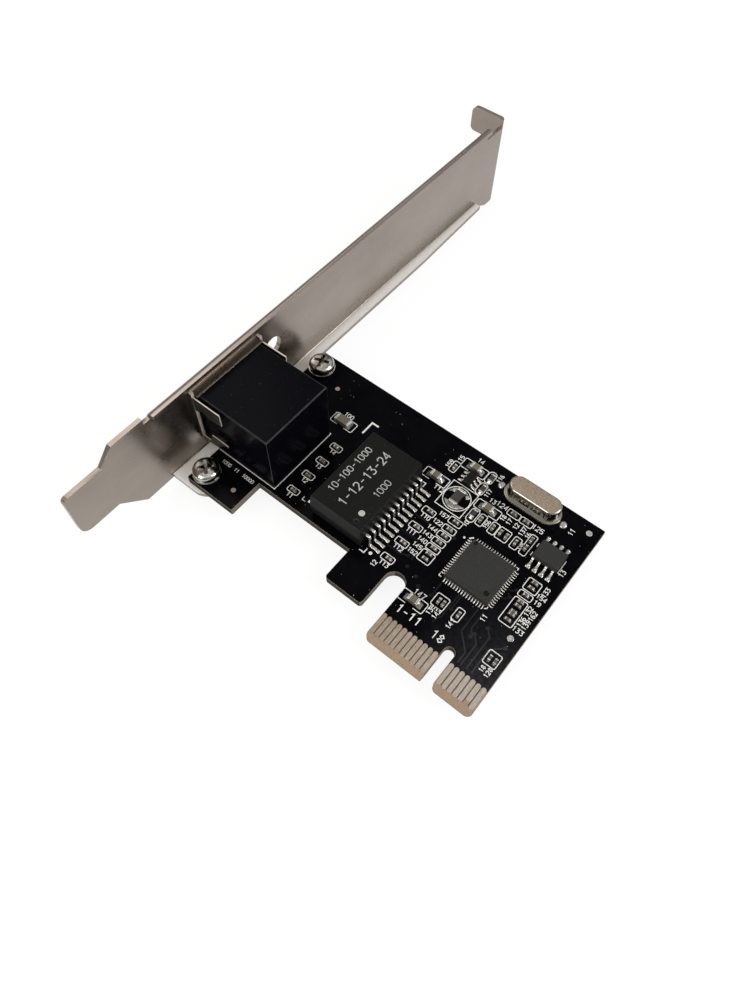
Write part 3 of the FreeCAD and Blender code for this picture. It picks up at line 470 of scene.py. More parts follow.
class Solid:
    """Collects closed shapes in millimetres and makes one piece of them."""

    def __init__(self):
        self.verts = []
        self.faces = []

    def rings(self, rings, closed=False):
        """Skins closed rings of the same size, and caps both ends or joins the last to the first."""
        count = len(rings[0])
        starts = [len(self.verts) + k * count for k in range(len(rings))]
        self.verts += [Vector(v) for ring in rings for v in ring]
        for a, b in zip(starts, starts[1:] + (starts[:1] if closed else [])):
            for i in range(count):
                j = (i + 1) % count
                self.faces.append([a + i, a + j, b + j, b + i])
        if not closed:
            self.faces.append([starts[0] + i for i in reversed(range(count))])
            self.faces.append([starts[-1] + i for i in range(count)])

    def prism(self, outline, z0, z1):
        """Extrudes a closed outline from z0 to z1."""
        self.rings([[(x, y, z) for x, y in outline] for z in (z0, z1)])

    def dome(self, x, y, radius, height, segments):
        """Half an ellipsoid that lies on the board."""
        angles = [k * DOME_STEP for k in range(4)]
        self.lathe(x, y, [(radius * math.cos(a), height * math.sin(a)) for a in angles], segments)

    def lathe(self, x, y, profile, segments=48):
        """Turns a profile of (radius, height) about an upright axis."""
        rings = []
        for radius, z in profile:
            rings.append([(px, py, z) for px, py in arc(x, y, radius, 0, 360, segments)[:-1]])
        self.rings(rings)

    def mound(self, place, along, sections):
        """Half-round body on the board along a line; sections are (distance, half width, height)."""
        x, y = place
        ux, uy = along
        rings = []
        for s, half, height in sections:
            ring = []
            for across, up in arc(0, 0, 1, 0, 180, 8):
                a = half * across
                ring.append((x + ux * s - uy * a, y + uy * s + ux * a, height * up))
            rings.append(ring)
        self.rings(rings)

    def pillow(self, outline, height):
        """Domed pad on the board, over a convex outline."""
        cx = sum(p[0] for p in outline) / len(outline)
        cy = sum(p[1] for p in outline) / len(outline)
        rings = []
        for shrink, rise in ((1.0, 0.0), (0.98, 0.35), (0.88, 0.75), (0.66, 0.95), (0.3, 1.0)):
            spots = [(cx + (x - cx) * shrink, cy + (y - cy) * shrink) for x, y in outline]
            rings.append([(*spot, rise * height) for spot in spots])
        self.rings(rings)

    def strip(self, path, place, along, width, thickness):
        """Sheet-metal strip with softened edges along path, a list of (distance, height)."""
        x, y = place
        ux, uy = along
        w = width / 2
        t = thickness / 2
        c = 0.3 * t
        profile = [(w, t - c), (w - c, t), (c - w, t), (-w, t - c)]
        profile += [(-a, -b) for a, b in profile]
        rings = []
        for i, (s, z) in enumerate(path):
            before = path[max(i - 1, 0)]
            after = path[min(i + 1, len(path) - 1)]
            run = Vector((after[0] - before[0], after[1] - before[1])).normalized()
            ring = []
            for a, b in profile:
                d = s - run.y * b
                ring.append((x + ux * d - uy * a, y + uy * d + ux * a, z + run.x * b))
            rings.append(ring)
        self.rings(rings)

    def ribbon(self, points, width, z0, z1, closed=False):
        """A flat line of even width along points, mitred at its corners."""
        spots = [Vector(point) for point in points]
        if closed:
            chain = [spots[-1], *spots, spots[0]]
        else:
            chain = [2 * spots[0] - spots[1], *spots, 2 * spots[-1] - spots[-2]]
        rings = []
        for before, here, after in zip(chain, chain[1:], chain[2:]):
            first = (here - before).normalized()
            second = (after - here).normalized()
            along = first + second
            along = second if along.length < 1e-6 else along.normalized()
            across = Vector((-along.y, along.x))
            cosine = max(0.35, across.dot(Vector((-second.y, second.x))))
            shift = across * (width / 2 / cosine)
            left = here + shift
            right = here - shift
            rings.append([(*right, z0), (*left, z0), (*left, z1), (*right, z1)])
        self.rings(rings, closed)

    def line(self, points, width=FINE_LINE, base=0.0, closed=False):
        """A printed line that lies on the height base."""
        self.ribbon(points, width, base + INK_LOW, base + INK_TOP, closed)

    def mesh(self, name):
        """A mesh in metres, with its faces turned outward."""
        mesh = bpy.data.meshes.new(name)
        mesh.from_pydata([v * MM for v in self.verts], [], self.faces)
        mesh.validate()
        bm = bmesh.new()
        bm.from_mesh(mesh)
        bmesh.ops.recalc_face_normals(bm, faces=bm.faces)
        bm.to_mesh(mesh)
        bm.free()
        return mesh

    def piece(self, name, material, slot, smooth=None, bevel=0.0):
        return finish_piece(name, self.mesh(name), material, smooth, bevel)


def add_object(name, data):
    obj = bpy.data.objects.new(name, data)
    bpy.context.scene.collection.objects.link(obj)
    return obj


def finish_piece(name, mesh, material, smooth, bevel):
    mesh.materials.clear()
    mesh.materials.append(MATERIALS[material])
    if material in EDGE_MATERIALS:
        mesh.materials.append(MATERIALS[EDGE_MATERIALS[material]])
    if smooth:
        mesh.polygons.foreach_set("use_smooth", [True] * len(mesh.polygons))
        mesh.set_sharp_from_angle(angle=math.radians(smooth))
    obj = add_object(name, mesh)
    if bevel:
        add_bevel(obj, bevel)
    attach(obj, "root")
    return obj


def add_bevel(obj, width):
    modifier = obj.modifiers.new("edge", "BEVEL")
    modifier.width = width * MM
    modifier.segments = 2
    modifier.limit_method = "ANGLE"
    modifier.angle_limit = math.radians(35)
    modifier.harden_normals = True
    # Bevel faces take the last material, which is the painted edge highlight on pieces that have one
    modifier.material = len(obj.data.materials) - 1


def arc(cx, cy, radius, start, end, steps):
    """Points on an arc, angles in degrees."""
    points = []
    for i in range(steps + 1):
        angle = math.radians(start + (end - start) * i / steps)
        points.append((cx + radius * math.cos(angle), cy + radius * math.sin(angle)))
    return points


def rounded_box(x0, x1, y0, y1, radius, steps=4):
    """Outline of a box from its lower right corner, counter-clockwise."""
    left = x0 + radius
    right = x1 - radius
    low = y0 + radius
    high = y1 - radius
    points = []
    for i, (x, y) in enumerate(((right, low), (right, high), (left, high), (left, low))):
        points += arc(x, y, radius, 90 * i - 90, 90 * i, steps)
    return points


def cad_copy(node, name, material, bevel=0.0):
    """A piece with the form of a CAD node, with welded, softened edges."""
    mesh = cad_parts[node].data.copy()
    bm = welded(node)
    bmesh.ops.dissolve_limit(
        bm, angle_limit=math.radians(0.5), verts=bm.verts, edges=bm.edges, delimit={"NORMAL"}
    )
    bm.to_mesh(mesh)
    bm.free()
    obj = finish_piece(name, mesh, material, 30, bevel)
    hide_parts(node)
    return obj


def carve(piece, solid):
    """Cuts the form of solid out of piece."""
    tool = add_object("tool", solid.mesh("tool"))
    modifier = piece.modifiers.new("cut", "BOOLEAN")
    modifier.operation = "DIFFERENCE"
    modifier.solver = "EXACT"
    modifier.object = tool
    graph = bpy.context.evaluated_depsgraph_get()
    mesh = bpy.data.meshes.new_from_object(piece.evaluated_get(graph))
    piece.modifiers.remove(modifier)
    piece.data = mesh
    bpy.data.objects.remove(tool)


def outward(low, high, middle, axis):
    """Inner end of a box, its direction away from middle, its length and its width."""
    center = (low + high) / 2
    sign = 1 if center[axis] > middle[axis] else -1
    inner = low[axis] if sign > 0 else high[axis]
    place = (inner, center.y) if axis == 0 else (center.x, inner)
    along = (sign, 0) if axis == 0 else (0, sign)
    return place, along, high[axis] - low[axis], high[1 - axis] - low[1 - axis]


# Pieces taken over from the CAD with softened edges: node, material and bevel
FINISHES = [
    ("circuit_board", "board", 0.04),
    ("socket_housing", "socket", 0.07),
    ("socket_contact_block", "insert", 0.05),
    ("socket_contacts", "spring", 0.03),
    ("memory_body", "chip", 0.05),
    ("regulator_body", "transformer", 0.04),
    ("crystal_base", "socket", 0.0),
    ("crystal_leads", "tin", 0.04),
    ("small_capacitor_bodies", "small_ceramic", 0.02),
    ("small_capacitor_terminals", "tin", 0.04),
    ("medium_capacitor_bodies", "tan_ceramic", 0.04),
    ("medium_capacitor_terminals", "tin", 0.08),
    ("resistor_bodies", "black_ceramic", 0.02),
    ("resistor_terminals", "tin", 0.04),
    ("bulk_capacitor_body", "tan_ceramic", 0.05),
    ("bulk_capacitor_terminals", "pad", 0.08),
    ("coil_body", "black_ceramic", 0.05),
    ("coil_terminals", "tin", 0.08),
    ("controller_leads", "tin", 0.0),
]


def dress_nodes():
    for node, material, bevel in FINISHES:
        cad_copy(node, node + "_finished", material, bevel)


# Bracket

# Room of the CAD fingers, which the plates below stand in for: x0, x1, y0, y1, z0, z1
FINGER_ROOM = (-56.25, -50.0, 5.3, 21.4, 0.3, 13.3)

# Folds at the outside of the flanges: x0, x1, y0, y1, z0, z1
FLANGE_FOLDS = [(-57.4, -56.3, 4.92, 5.53, 2.5, 14.35), (-57.4, -56.3, 21.17, 21.78, 2.5, 14.0)]

# Outlines of the two plates that reach out of the folds, in X and Z, and where they lie in Y
UPPER_PLATE = [
    (-56.35, 13.7), (-50.2, 13.75), (-50.16, 10.94), (-53.3, 10.3), (-54.6, 11.3), (-55.3, 10.4),
    (-56.35, 10.2),
]
LOWER_PLATE = [
    (-56.35, 2.5), (-54.69, 2.45), (-52.82, 2.65), (-51.2, 4.2), (-49.9, 4.9), (-49.9, 5.3), (-53.6, 5.4),
    (-54.4, 3.2), (-56.35, 3.1),
]
PLATE_SIDES = [(4.95, 5.15), (20.95, 21.2)]


def make_bracket():
    piece = cad_copy("mounting_bracket", "mounting_bracket_finished", "steel")
    x0, x1, y0, y1, z0, z1 = FINGER_ROOM
    room = Solid()
    room.prism([(x0, y0), (x1, y0), (x1, y1), (x0, y1)], z0, z1)
    carve(piece, room)
    add_bevel(piece, 0.08)
    flanges = Solid()
    for x0, x1, y0, y1, z0, z1 in FLANGE_FOLDS:
        flanges.prism(rounded_box(x0, x1, y0, y1, 0.12, 3), z0, z1)
    for sides in PLATE_SIDES:
        for plate in (UPPER_PLATE, LOWER_PLATE):
            flanges.rings([[(x, y, z) for x, z in plate] for y in sides])
    flanges.piece("ground_flanges", "flange", "bracket_steel")


# Bus contacts

CONTACT_END_RADIUS = 0.34
CONTACT_GAP_LINE = 0.15

# Lower end of the dark lines of painted shade between the contacts, and the widest gap that has one, which
# leaves out the key notch
GAP_FOOT = -3.85
GAP_LIMIT = 0.4


def make_contacts():
    """Plated strips with round ends on both faces, and dark lines of painted shade in the gaps between them.
    """
    for node in ("bus_contacts_component_side", "bus_contacts_solder_side"):
        metal = Solid()
        gap_shade_lines = Solid()
        boxes = sorted(islands(node), key=lambda box: box[0].x)
        for low, high in boxes:
            outline = rounded_box(low.x, high.x, low.y, high.y, CONTACT_END_RADIUS, 6)
            metal.prism(outline, low.z, high.z)
        face = boxes[0][1].z
        z0, z1 = (INK_LOW, 2 * INK_LOW) if face > 0 else (face - 2 * INK_LOW, face - INK_LOW)
        for (_, high), (after, _) in zip(boxes, boxes[1:]):
            if after.x - high.x > GAP_LIMIT:
                continue
            left = (high.x + after.x - CONTACT_GAP_LINE) / 2
            right = left + CONTACT_GAP_LINE
            gap_shade_lines.prism([(left, GAP_FOOT), (right, GAP_FOOT), (right, MASK_END), (left, MASK_END)], z0, z1)
        piece = metal.piece(node + "_plated", "contact", "bus_contact", 0, 0.015)
        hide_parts(node)
        gap_shade_lines.piece(node + "_gaps", "gap", "board_laminate")


# Bent leads of the packages: node, body, axis the leads point along, sheet, shoulder, ends of the
# solder on the positive and the negative side, and its width
BENT_LEADS = [
    ("transformer_leads", "transformer_body", 0, 0.25, 0.95, (2.9, 1.75), 0.62),
    ("memory_leads", "memory_body", 1, 0.2, 0.35, (1.4, 1.75), 0.76),
    ("regulator_leads", "regulator_body", 0, 0.15, 0.25, (1.0, 1.0), 0.44),
]

# The photograph hides the transformer's leads on its socket side: how much sooner they turn and end
HIDDEN_LEADS = (0.4, 0.55)

# Balls of solder at the toes of the memory's leads: distance from the body, radius and height
MEMORY_BALL = (1.22, 0.36, 0.34)


def lead_reach(node, along, shoulder, length):
    """Shoulder and length of a lead."""
    if node == "transformer_leads" and along[0] < 0:
        return shoulder - HIDDEN_LEADS[0], length - HIDDEN_LEADS[1]
    return shoulder, length


def gull_path(length, top, bottom, shoulder, radius):
    """Middle line of a gull-wing lead as (distance, height)."""
    path = [(-0.2, top)]
    path += arc(shoulder - radius, top - radius, radius, 90, 0, 4)
    path += arc(shoulder + radius, bottom + radius, radius, 180, 270, 4)
    return path + [(length, bottom)]


def make_bent_leads():
    for node, body, axis, sheet, shoulder, _, _ in BENT_LEADS:
        low, high = mm_box(body)
        middle = (low + high) / 2
        metal = Solid()
        for a, b in islands(node):
            place, along, length, width = outward(a, b, middle, axis)
            turn, length = lead_reach(node, along, shoulder, length)
            path = gull_path(length, b.z - sheet / 2, a.z + sheet / 2, turn - sheet / 2, sheet)
            metal.strip(path, place, along, width, sheet)
        piece = metal.piece(node + "_bent", "tin", "tinned_lead", 35)
        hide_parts(node)


# Solder

def lead_joint(shoulder, toe, end, lead, pad, foot):
    """Sections of the solder round a lead's foot: distances, half widths and heights."""
    return [
        (shoulder - 0.36, lead * 0.7, 0.05),
        (shoulder - 0.28, lead, foot * 0.7),
        (shoulder - 0.05, lead * 1.08, foot * 1.0),
        (shoulder + 0.4 * (toe - shoulder), lead * 1.15, foot * 0.8),
        (shoulder + 0.75 * (toe - shoulder), (lead + pad) / 2, foot * 0.8),
        (toe, pad * 0.92, foot * 0.72),
        (toe + 0.45 * (end - toe), pad * 1.04, foot * 0.48),
        (toe + 0.85 * (end - toe), pad * 1.06, foot * 0.24),
        (end, pad * 0.9, 0.03),
    ]


def end_joint(half, height, reach, belly):
    """Sections of the solder in front of a chip's end."""
    sections = []
    for i in range(8):
        s = i / 7
        rise = 0.72 * height * (1 - s ** belly) + 0.03
        sections.append((s * reach - 0.04, half * (1 - 0.25 * s ** 6), rise))
    return sections


# Chip parts: terminals, bodies, reach of the solder and how full it is
CHIP_JOINTS = [
    ("small_capacitor_terminals", "small_capacitor_bodies", 0.2, 0.9),
    ("medium_capacitor_terminals", "medium_capacitor_bodies", 0.75, 1.1),
    ("resistor_terminals", "resistor_bodies", 0.35, 1.2),
    ("bulk_capacitor_terminals", "bulk_capacitor_body", 0.2, 1.1),
    ("coil_terminals", "coil_body", 0.4, 1.2),
]

# The coil's two pads, arcs of one circle: start and end in degrees, and steps
COIL_MIDDLE = (-15.1, 24.2)
COIL_PAD = 2.15
COIL_PADS = [(55, 165, 20), (212, 338, 22)]

# Small blobs of solder on the upper pad
COIL_BLOBS = [(-16.35, 25.5), (-13.75, 25.5)]


def make_solder():
    """Every joint on the component face."""
    solder = Solid()
    for node, body, axis, sheet, shoulder, ends, width in BENT_LEADS:
        low, high = mm_box(body)
        middle = (low + high) / 2
        for a, b in islands(node):
            place, along, length, lead = outward(a, b, middle, axis)
            turn, length = lead_reach(node, along, shoulder, length)
            end = ends[0] if sum(along) > 0 else ends[1]
            solder.mound(place, along, lead_joint(turn, length, end, lead / 2, width / 2, sheet + 0.05))
            if node == "memory_leads":
                s, radius, height = MEMORY_BALL
                solder.dome(place[0], place[1] + along[1] * s, radius, height, 16)
    for node, body, reach, belly in CHIP_JOINTS:
        bodies = [(low + high) / 2 for low, high in islands(body)]
        for low, high in islands(node):
            center = (low + high) / 2
            middle = min(bodies, key=lambda b: (b - center).length)
            offset = center - middle
            axis = 0 if abs(offset.x) > abs(offset.y) else 1
            place, along, length, width = outward(low, high, middle, axis)
            edge = (place[0] + along[0] * length, place[1] + along[1] * length)
            solder.mound(edge, along, end_joint(width / 2, high.z, reach, belly))
    for low, high in islands("crystal_leads"):
        center = (low + high) / 2
        solder.pillow(arc(center.x, center.y, 0.72, 0, 345, 23), 0.36)
    pads = Solid()
    for start, end, steps in COIL_PADS:
        pads.pillow(arc(*COIL_MIDDLE, COIL_PAD, start, end, steps), 0.12)
    pads.piece("coil_pads", "pad", "tinned_lead", 50)
    for x, y in COIL_BLOBS:
        solder.pillow(arc(x, y, 0.42, 0, 345, 23), 0.16)
    piece = solder.piece("solder_joints", "tin", "tinned_lead", 50)
    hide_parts("solder_pads")


# Sections of a stroke of solder beside the controller: distances, half widths and heights
CONTROLLER_STROKE = [
    (0.1, 0.10, 0.12), (0.26, 0.11, 0.12), (0.42, 0.11, 0.09), (0.7, 0.11, 0.07), (0.78, 0.10, 0.05),
    (0.82, 0.05, 0.02),
]


def make_controller_solder():
    """Bright strokes of solder that reach out from under the controller on all sides."""
    low, high = mm_box("controller_body")
    middle = (low + high) / 2
    solder = Solid()
    for a, b in islands("controller_leads"):
        center = (a + b) / 2 - middle
        axis = 0 if abs(center.x) > abs(center.y) else 1
        place, along, _, _ = outward(a, b, middle, axis)
        solder.mound(place, along, CONTROLLER_STROKE)
    solder.piece("controller_solder", "tin", "tinned_lead", 50)


# Solder-side joints of the socket pins

def make_pin_joints():
    """Pins with cut ends and cones of solder round them on the solder side."""
    under = mm_box("circuit_board")[0].z
    metal = Solid()
    for low, high in islands("socket_pins"):
        x = (low.x + high.x) / 2
        y = (low.y + high.y) / 2
        r = (high.x - low.x) / 2
        profile = [(0.75, under), (0.72, under - 0.06), (0.5, under - 0.2), (r * 1.15, under - 0.42)]
        profile += [(r, under - 0.5), (r, low.z + 0.1), (r * 0.7, low.z)]
        metal.lathe(x, y, profile, 20)
    piece = metal.piece("socket_pin_joints", "tin", "tinned_lead", 50)
    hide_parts("socket_pins")


# Crystal: how far its wall stands in from its flange, the flange's height, and the top's rounding
CAN_INSET = 0.55
CAN_FLANGE = 0.4
CAN_ROUNDING = 0.38


def stadium(low, high, inset, z, steps=18):
    """Ring with round ends inside a box, moved in by inset."""
    y = (low.y + high.y) / 2
    radius = (high.y - low.y) / 2
    left = arc(low.x + radius, y, radius - inset, 90, 270, steps)
    right = arc(high.x - radius, y, radius - inset, -90, 90, steps)
    return [(px, py, z) for px, py in left + right]


def make_crystal():
    low, high = mm_box("crystal_can")
    wall = CAN_INSET
    flange = low.z + CAN_FLANGE
    top = high.z
    profile = [(0.06, low.z), (0.0, low.z + 0.07), (0.0, flange - 0.12), (0.04, flange - 0.04)]
    profile += [(0.12, flange), (wall - 0.1, flange + 0.01), (wall - 0.02, flange + 0.05)]
    profile += [(wall, flange + 0.13), (wall, top - CAN_ROUNDING)]
    for angle in (20, 40, 60, 80):
        a = math.radians(angle)
        inset = wall + CAN_ROUNDING * (1 - math.cos(a))
        profile.append((inset, top - CAN_ROUNDING * (1 - math.sin(a))))
    profile.append((wall + 0.42, top))
    can = Solid()
    can.rings([stadium(low, high, inset, z) for inset, z in profile])
    piece = can.piece("crystal_case", "crystal", "crystal_metal", 32)
    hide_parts("crystal_can")


# Bracket screws

# Washer ring and pan head as (radius, height)
SCREW_PROFILE = [
    (1.35, 0.0), (2.55, 0.0), (2.6, 0.05), (2.6, 0.2), (2.55, 0.27), (2.38, 0.3), (2.36, 0.36),
    (2.42, 0.42), (2.44, 0.95), (2.4, 1.2), (2.28, 1.42), (2.1, 1.6), (1.85, 1.75), (1.5, 1.87),
    (1.1, 1.94), (0.6, 1.98), (0.25, 1.99),
]

# Ridges of the shank: radius of their foot and crest, and their step
THREAD_FOOT = 1.3
THREAD_CREST = 1.48
THREAD_STEP = 0.32

# The cross recess: (reach, half width) at its top and foot, its depth, and its turn on each screw
RECESS_TOP = (1.62, 0.36)
RECESS_FOOT = (0.6, 0.16)
RECESS_DEPTH = 1.2
RECESS_TURNS = (52, 20)


def cross(x, y, reach, half, turn):
    """Outline of a cross, counter-clockwise."""
    points = []
    for quarter in range(4):
        angle = math.radians(turn + 90 * quarter)
        c = math.cos(angle)
        s = math.sin(angle)
        for a, b in ((reach, -half), (reach, half), (half, half)):
            points.append((x + a * c - b * s, y + a * s + b * c))
    return points


def make_screws():
    screws = islands("bracket_screws")
    screws.sort(key=lambda box: box[0].y)
    metal = Solid()
    tool = Solid()
    for (low, high), turn in zip(screws, RECESS_TURNS):
        x = (low.x + high.x) / 2
        y = (low.y + high.y) / 2
        profile = [(1.1, low.z), (THREAD_FOOT, low.z + 0.05)]
        z = low.z + 0.1
        while z < -0.2:
            profile += [(THREAD_FOOT, z), (THREAD_CREST, z + 0.12), (THREAD_CREST, z + 0.16)]
            z += THREAD_STEP
        metal.lathe(x, y, profile + [(THREAD_FOOT, -0.05)] + SCREW_PROFILE)
        rings = []
        for z, (reach, half) in ((2.0 - RECESS_DEPTH, RECESS_FOOT), (2.05, RECESS_TOP)):
            rings.append([(px, py, z) for px, py in cross(x, y, reach, half, turn)])
        tool.rings(rings)
    piece = metal.piece("bracket_screw_set", "screw", "screw_metal", 38)
    carve(piece, tool)
    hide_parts("bracket_screws")


# Package tops; the printed lines are plain numbers: text, x, y, height and line width
TRANSFORMER_NUMBERS = [
    ("10-100-1000", -30.9, 14.6, 1.15, 0.14),
    ("1-12-13-24", -27.8, 14.7, 1.5, 0.19),
    ("1000", -24.3, 14.9, 1.15, 0.12),
]

# Printed dot: x, y and radius
TRANSFORMER_DOT = (-24.0, 9.2, 0.55)

# Packages with dimples in their tops: node, material, bevel, and x, y and radius of each dimple
DIMPLED = [
    ("transformer_body", "transformer", 0.07, [(-23.8, 7.5, 0.45)]),
    ("controller_body", "chip", 0.04, [(-7.5, 18.8, 0.42), (-1.05, 12.5, 0.58)]),
]
DIMPLE_DEPTH = 0.09


def make_package_tops():
    """Transformer and controller bodies with their moulded dimples, and their plain printed marks."""
    floors = Solid()
    for node, material, bevel, spots in DIMPLED:
        piece = cad_copy(node, node + "_moulded", material)
        top = mm_box(node)[1].z
        tool = Solid()
        for x, y, r in spots:
            tool.lathe(x, y, [(r * 0.86, top - DIMPLE_DEPTH), (r, top + 0.01), (r, top + 0.2)], 32)
        carve(piece, tool)
        add_bevel(piece, bevel)
        for x, y, r in spots:
            floor = top - DIMPLE_DEPTH
            floors.prism(arc(x, y, r * 0.84, 0, 350, 35), floor - 0.005, floor + 0.005)
    floors.piece("dimple_floors", "transformer", "chip_compound")
    marks = Solid()
    top = mm_box("transformer_body")[1].z
    x, y, r = TRANSFORMER_DOT
    marks.prism(arc(x, y, r, 0, 350, 35), top + INK_LOW, top + INK_TOP)
    for text, x, y, height, line in TRANSFORMER_NUMBERS:
        number(marks, text, x, y, height, 90, line, top)
    marks.piece("package_marks", "print", "chip_compound")


# Masked copper under the black finish

VIA_RADIUS = 0.34
TRACE_LINE = 0.25
VIAS = [
    (-13.9, 8.65), (-11.7, 8.1), (-10.4, 7.0), (-7.8, 7.0), (-3.95, 7.1), (2.4, 8.1), (2.4, 16.4),
    (2.2, 14.75), (6.4, 7.1), (1.3, 6.0), (1.1, 5.3), (-10.95, 17.7), (-15.0, 10.3),
]
TRACES = [
    [(-10.4, 7.0), (-9.6, 6.2), (-9.6, 5.6)],
    [(-7.8, 7.0), (-7.8, 9.9)],
    [(-3.95, 7.1), (-3.95, 9.9)],
    [(-0.6, 9.9), (-0.6, 5.2), (1.9, 2.7), (1.9, 0.6)],
    [(0.4, 9.9), (0.4, 6.6), (1.1, 5.3)],
    [(1.3, 6.0), (2.5, 4.8), (2.5, 0.6)],
    [(2.4, 8.1), (3.5, 7.0), (3.5, 0.6)],
    [(2.4, 14.75), (1.6, 13.9), (1.2, 13.9)],
    [(2.4, 16.4), (1.7, 15.7), (1.2, 15.7)],
    [(6.4, 7.1), (4.5, 5.3), (4.5, 0.6)],
    [(-5.0, 3.4), (-5.0, 4.4), (-4.4, 5.0), (-4.4, 9.9)],
    [(-18.9, 9.7), (-16.4, 9.7), (-15.0, 10.3)],
    [(-18.9, 13.5), (-15.6, 13.5), (-14.2, 12.1), (-14.2, 10.0)],
    [(-18.9, 17.3), (-14.4, 17.3)],
]


def make_masked_copper():
    copper = Solid()
    for x, y in VIAS:
        copper.dome(x, y, VIA_RADIUS, RELIEF_TOP, 18)
    for points in TRACES:
        copper.ribbon(points, TRACE_LINE, 0.0, RELIEF_TOP * 0.6)
    copper.piece("masked_copper", "relief", "board_laminate", 50)


# Printed lines on the board

# Strokes of the plain numbers, in shares of their height
DIGITS = {
    "0": [(0, 0.2), (0, 0.8), (0.15, 1), (0.45, 1), (0.6, 0.8), (0.6, 0.2), (0.45, 0), (0.15, 0), (0, 0.2)],
    "1": [(0.1, 0.8), (0.35, 1), (0.35, 0)],
    "2": [(0, 0.8), (0.15, 1), (0.45, 1), (0.6, 0.8), (0.55, 0.55), (0, 0), (0.6, 0)],
    "3": [(0, 1), (0.6, 1), (0.3, 0.6), (0.5, 0.55), (0.6, 0.35), (0.5, 0.05), (0.15, 0), (0, 0.15)],
    "4": [(0.45, 0), (0.45, 1), (0, 0.3), (0.6, 0.3)],
    "5": [(0.6, 1), (0.05, 1), (0, 0.55), (0.4, 0.6), (0.6, 0.4), (0.55, 0.1), (0.15, 0), (0, 0.1)],
    "6": [(0.5, 1), (0.15, 0.9), (0, 0.5), (0.05, 0.1), (0.4, 0), (0.6, 0.25), (0.45, 0.55), (0.05, 0.45)],
    "7": [(0, 1), (0.6, 1), (0.2, 0)],
    "8": [(0.3, 0.53), (0.05, 0.75), (0.3, 1), (0.55, 0.75), (0.3, 0.53), (0, 0.25), (0.3, 0), (0.6, 0.25),
          (0.3, 0.53)],
    "-": [(0.08, 0.5), (0.52, 0.5)],
}
DIGIT_WIDTH = 0.6
DIGIT_STEP = 0.85

# A nine is a six turned over
DIGITS["9"] = [(DIGIT_WIDTH - a, 1 - b) for a, b in DIGITS["6"]]


def number(solid, text, x, y, height, turn=0, line=NUMBER_LINE, base=0.0):
    """Draws a plain number centred on (x, y), turned by degrees."""
    width = ((len(text) - 1) * DIGIT_STEP + DIGIT_WIDTH) * height
    c = math.cos(math.radians(turn))
    s = math.sin(math.radians(turn))
    for i, digit in enumerate(text):
        points = []
        for a, b in DIGITS[digit]:
            u = (a + i * DIGIT_STEP) * height - width / 2
            v = (b - 0.5) * height
            points.append((x + u * c - v * s, y + u * s + v * c))
        solid.line(points, line, base)


# Rounded frames round the small chip parts: those in a column by their (x0, x1), and those in a row
# by their (y0, y1)
FRAME_COLUMNS = {
    (-39.15, -36.85): [(18.55, 19.75), (14.75, 15.95), (11.05, 12.25), (7.15, 8.3)],
    (-18.5, -16.1): [(18.45, 19.75), (14.75, 16.0), (10.95, 12.2), (7.15, 8.4)],
    (-13.8, -11.35): [(19.6, 20.95), (17.8, 19.05), (16.3, 17.5), (14.8, 16.0), (13.3, 14.5), (10.8, 13.05)],
    (2.75, 5.2): [(17.35, 19.75), (15.85, 17.05), (10.35, 15.5)],
    (4.65, 6.95): [(3.15, 5.6)],
    (-19.85, -18.6): [(28.1, 30.5)],
    (-1.25, -0.02): [(22.2, 26.65)],
}
FRAME_ROWS = {
    (5.8, 8.2): [(-7.2, -4.85), (-3.2, -1.85)],
    (22.2, 24.6): [(-10.05, -8.8), (-7.6, -6.25), (-6.1, -3.85), (-3.15, -1.8)],
    (27.2, 28.45): [(-6.9, -4.5), (-4.4, -2.0)],
}

# Frames with round ends, and frames in two halves: x0, x1, y0, y1
PILL_FRAMES = [(-13.65, -12.2, 30.05, 32.7), (-13.65, -12.2, 27.2, 29.85), (-11.85, -10.35, 21.8, 24.75)]
SPLIT_FRAMES = [
    (-22.95, -18.05, 24.45, 26.5),
    (-18.65, -13.75, 30.15, 32.25),
    (-12.15, -7.35, 24.85, 26.8),
    (-11.95, -7.15, 3.35, 5.45),
    (-43.0, -38.1, 23.25, 25.4),
]
FRAME_RADIUS = 0.3
PILL_RADIUS = 0.62
SPLIT_GAP = 1.5

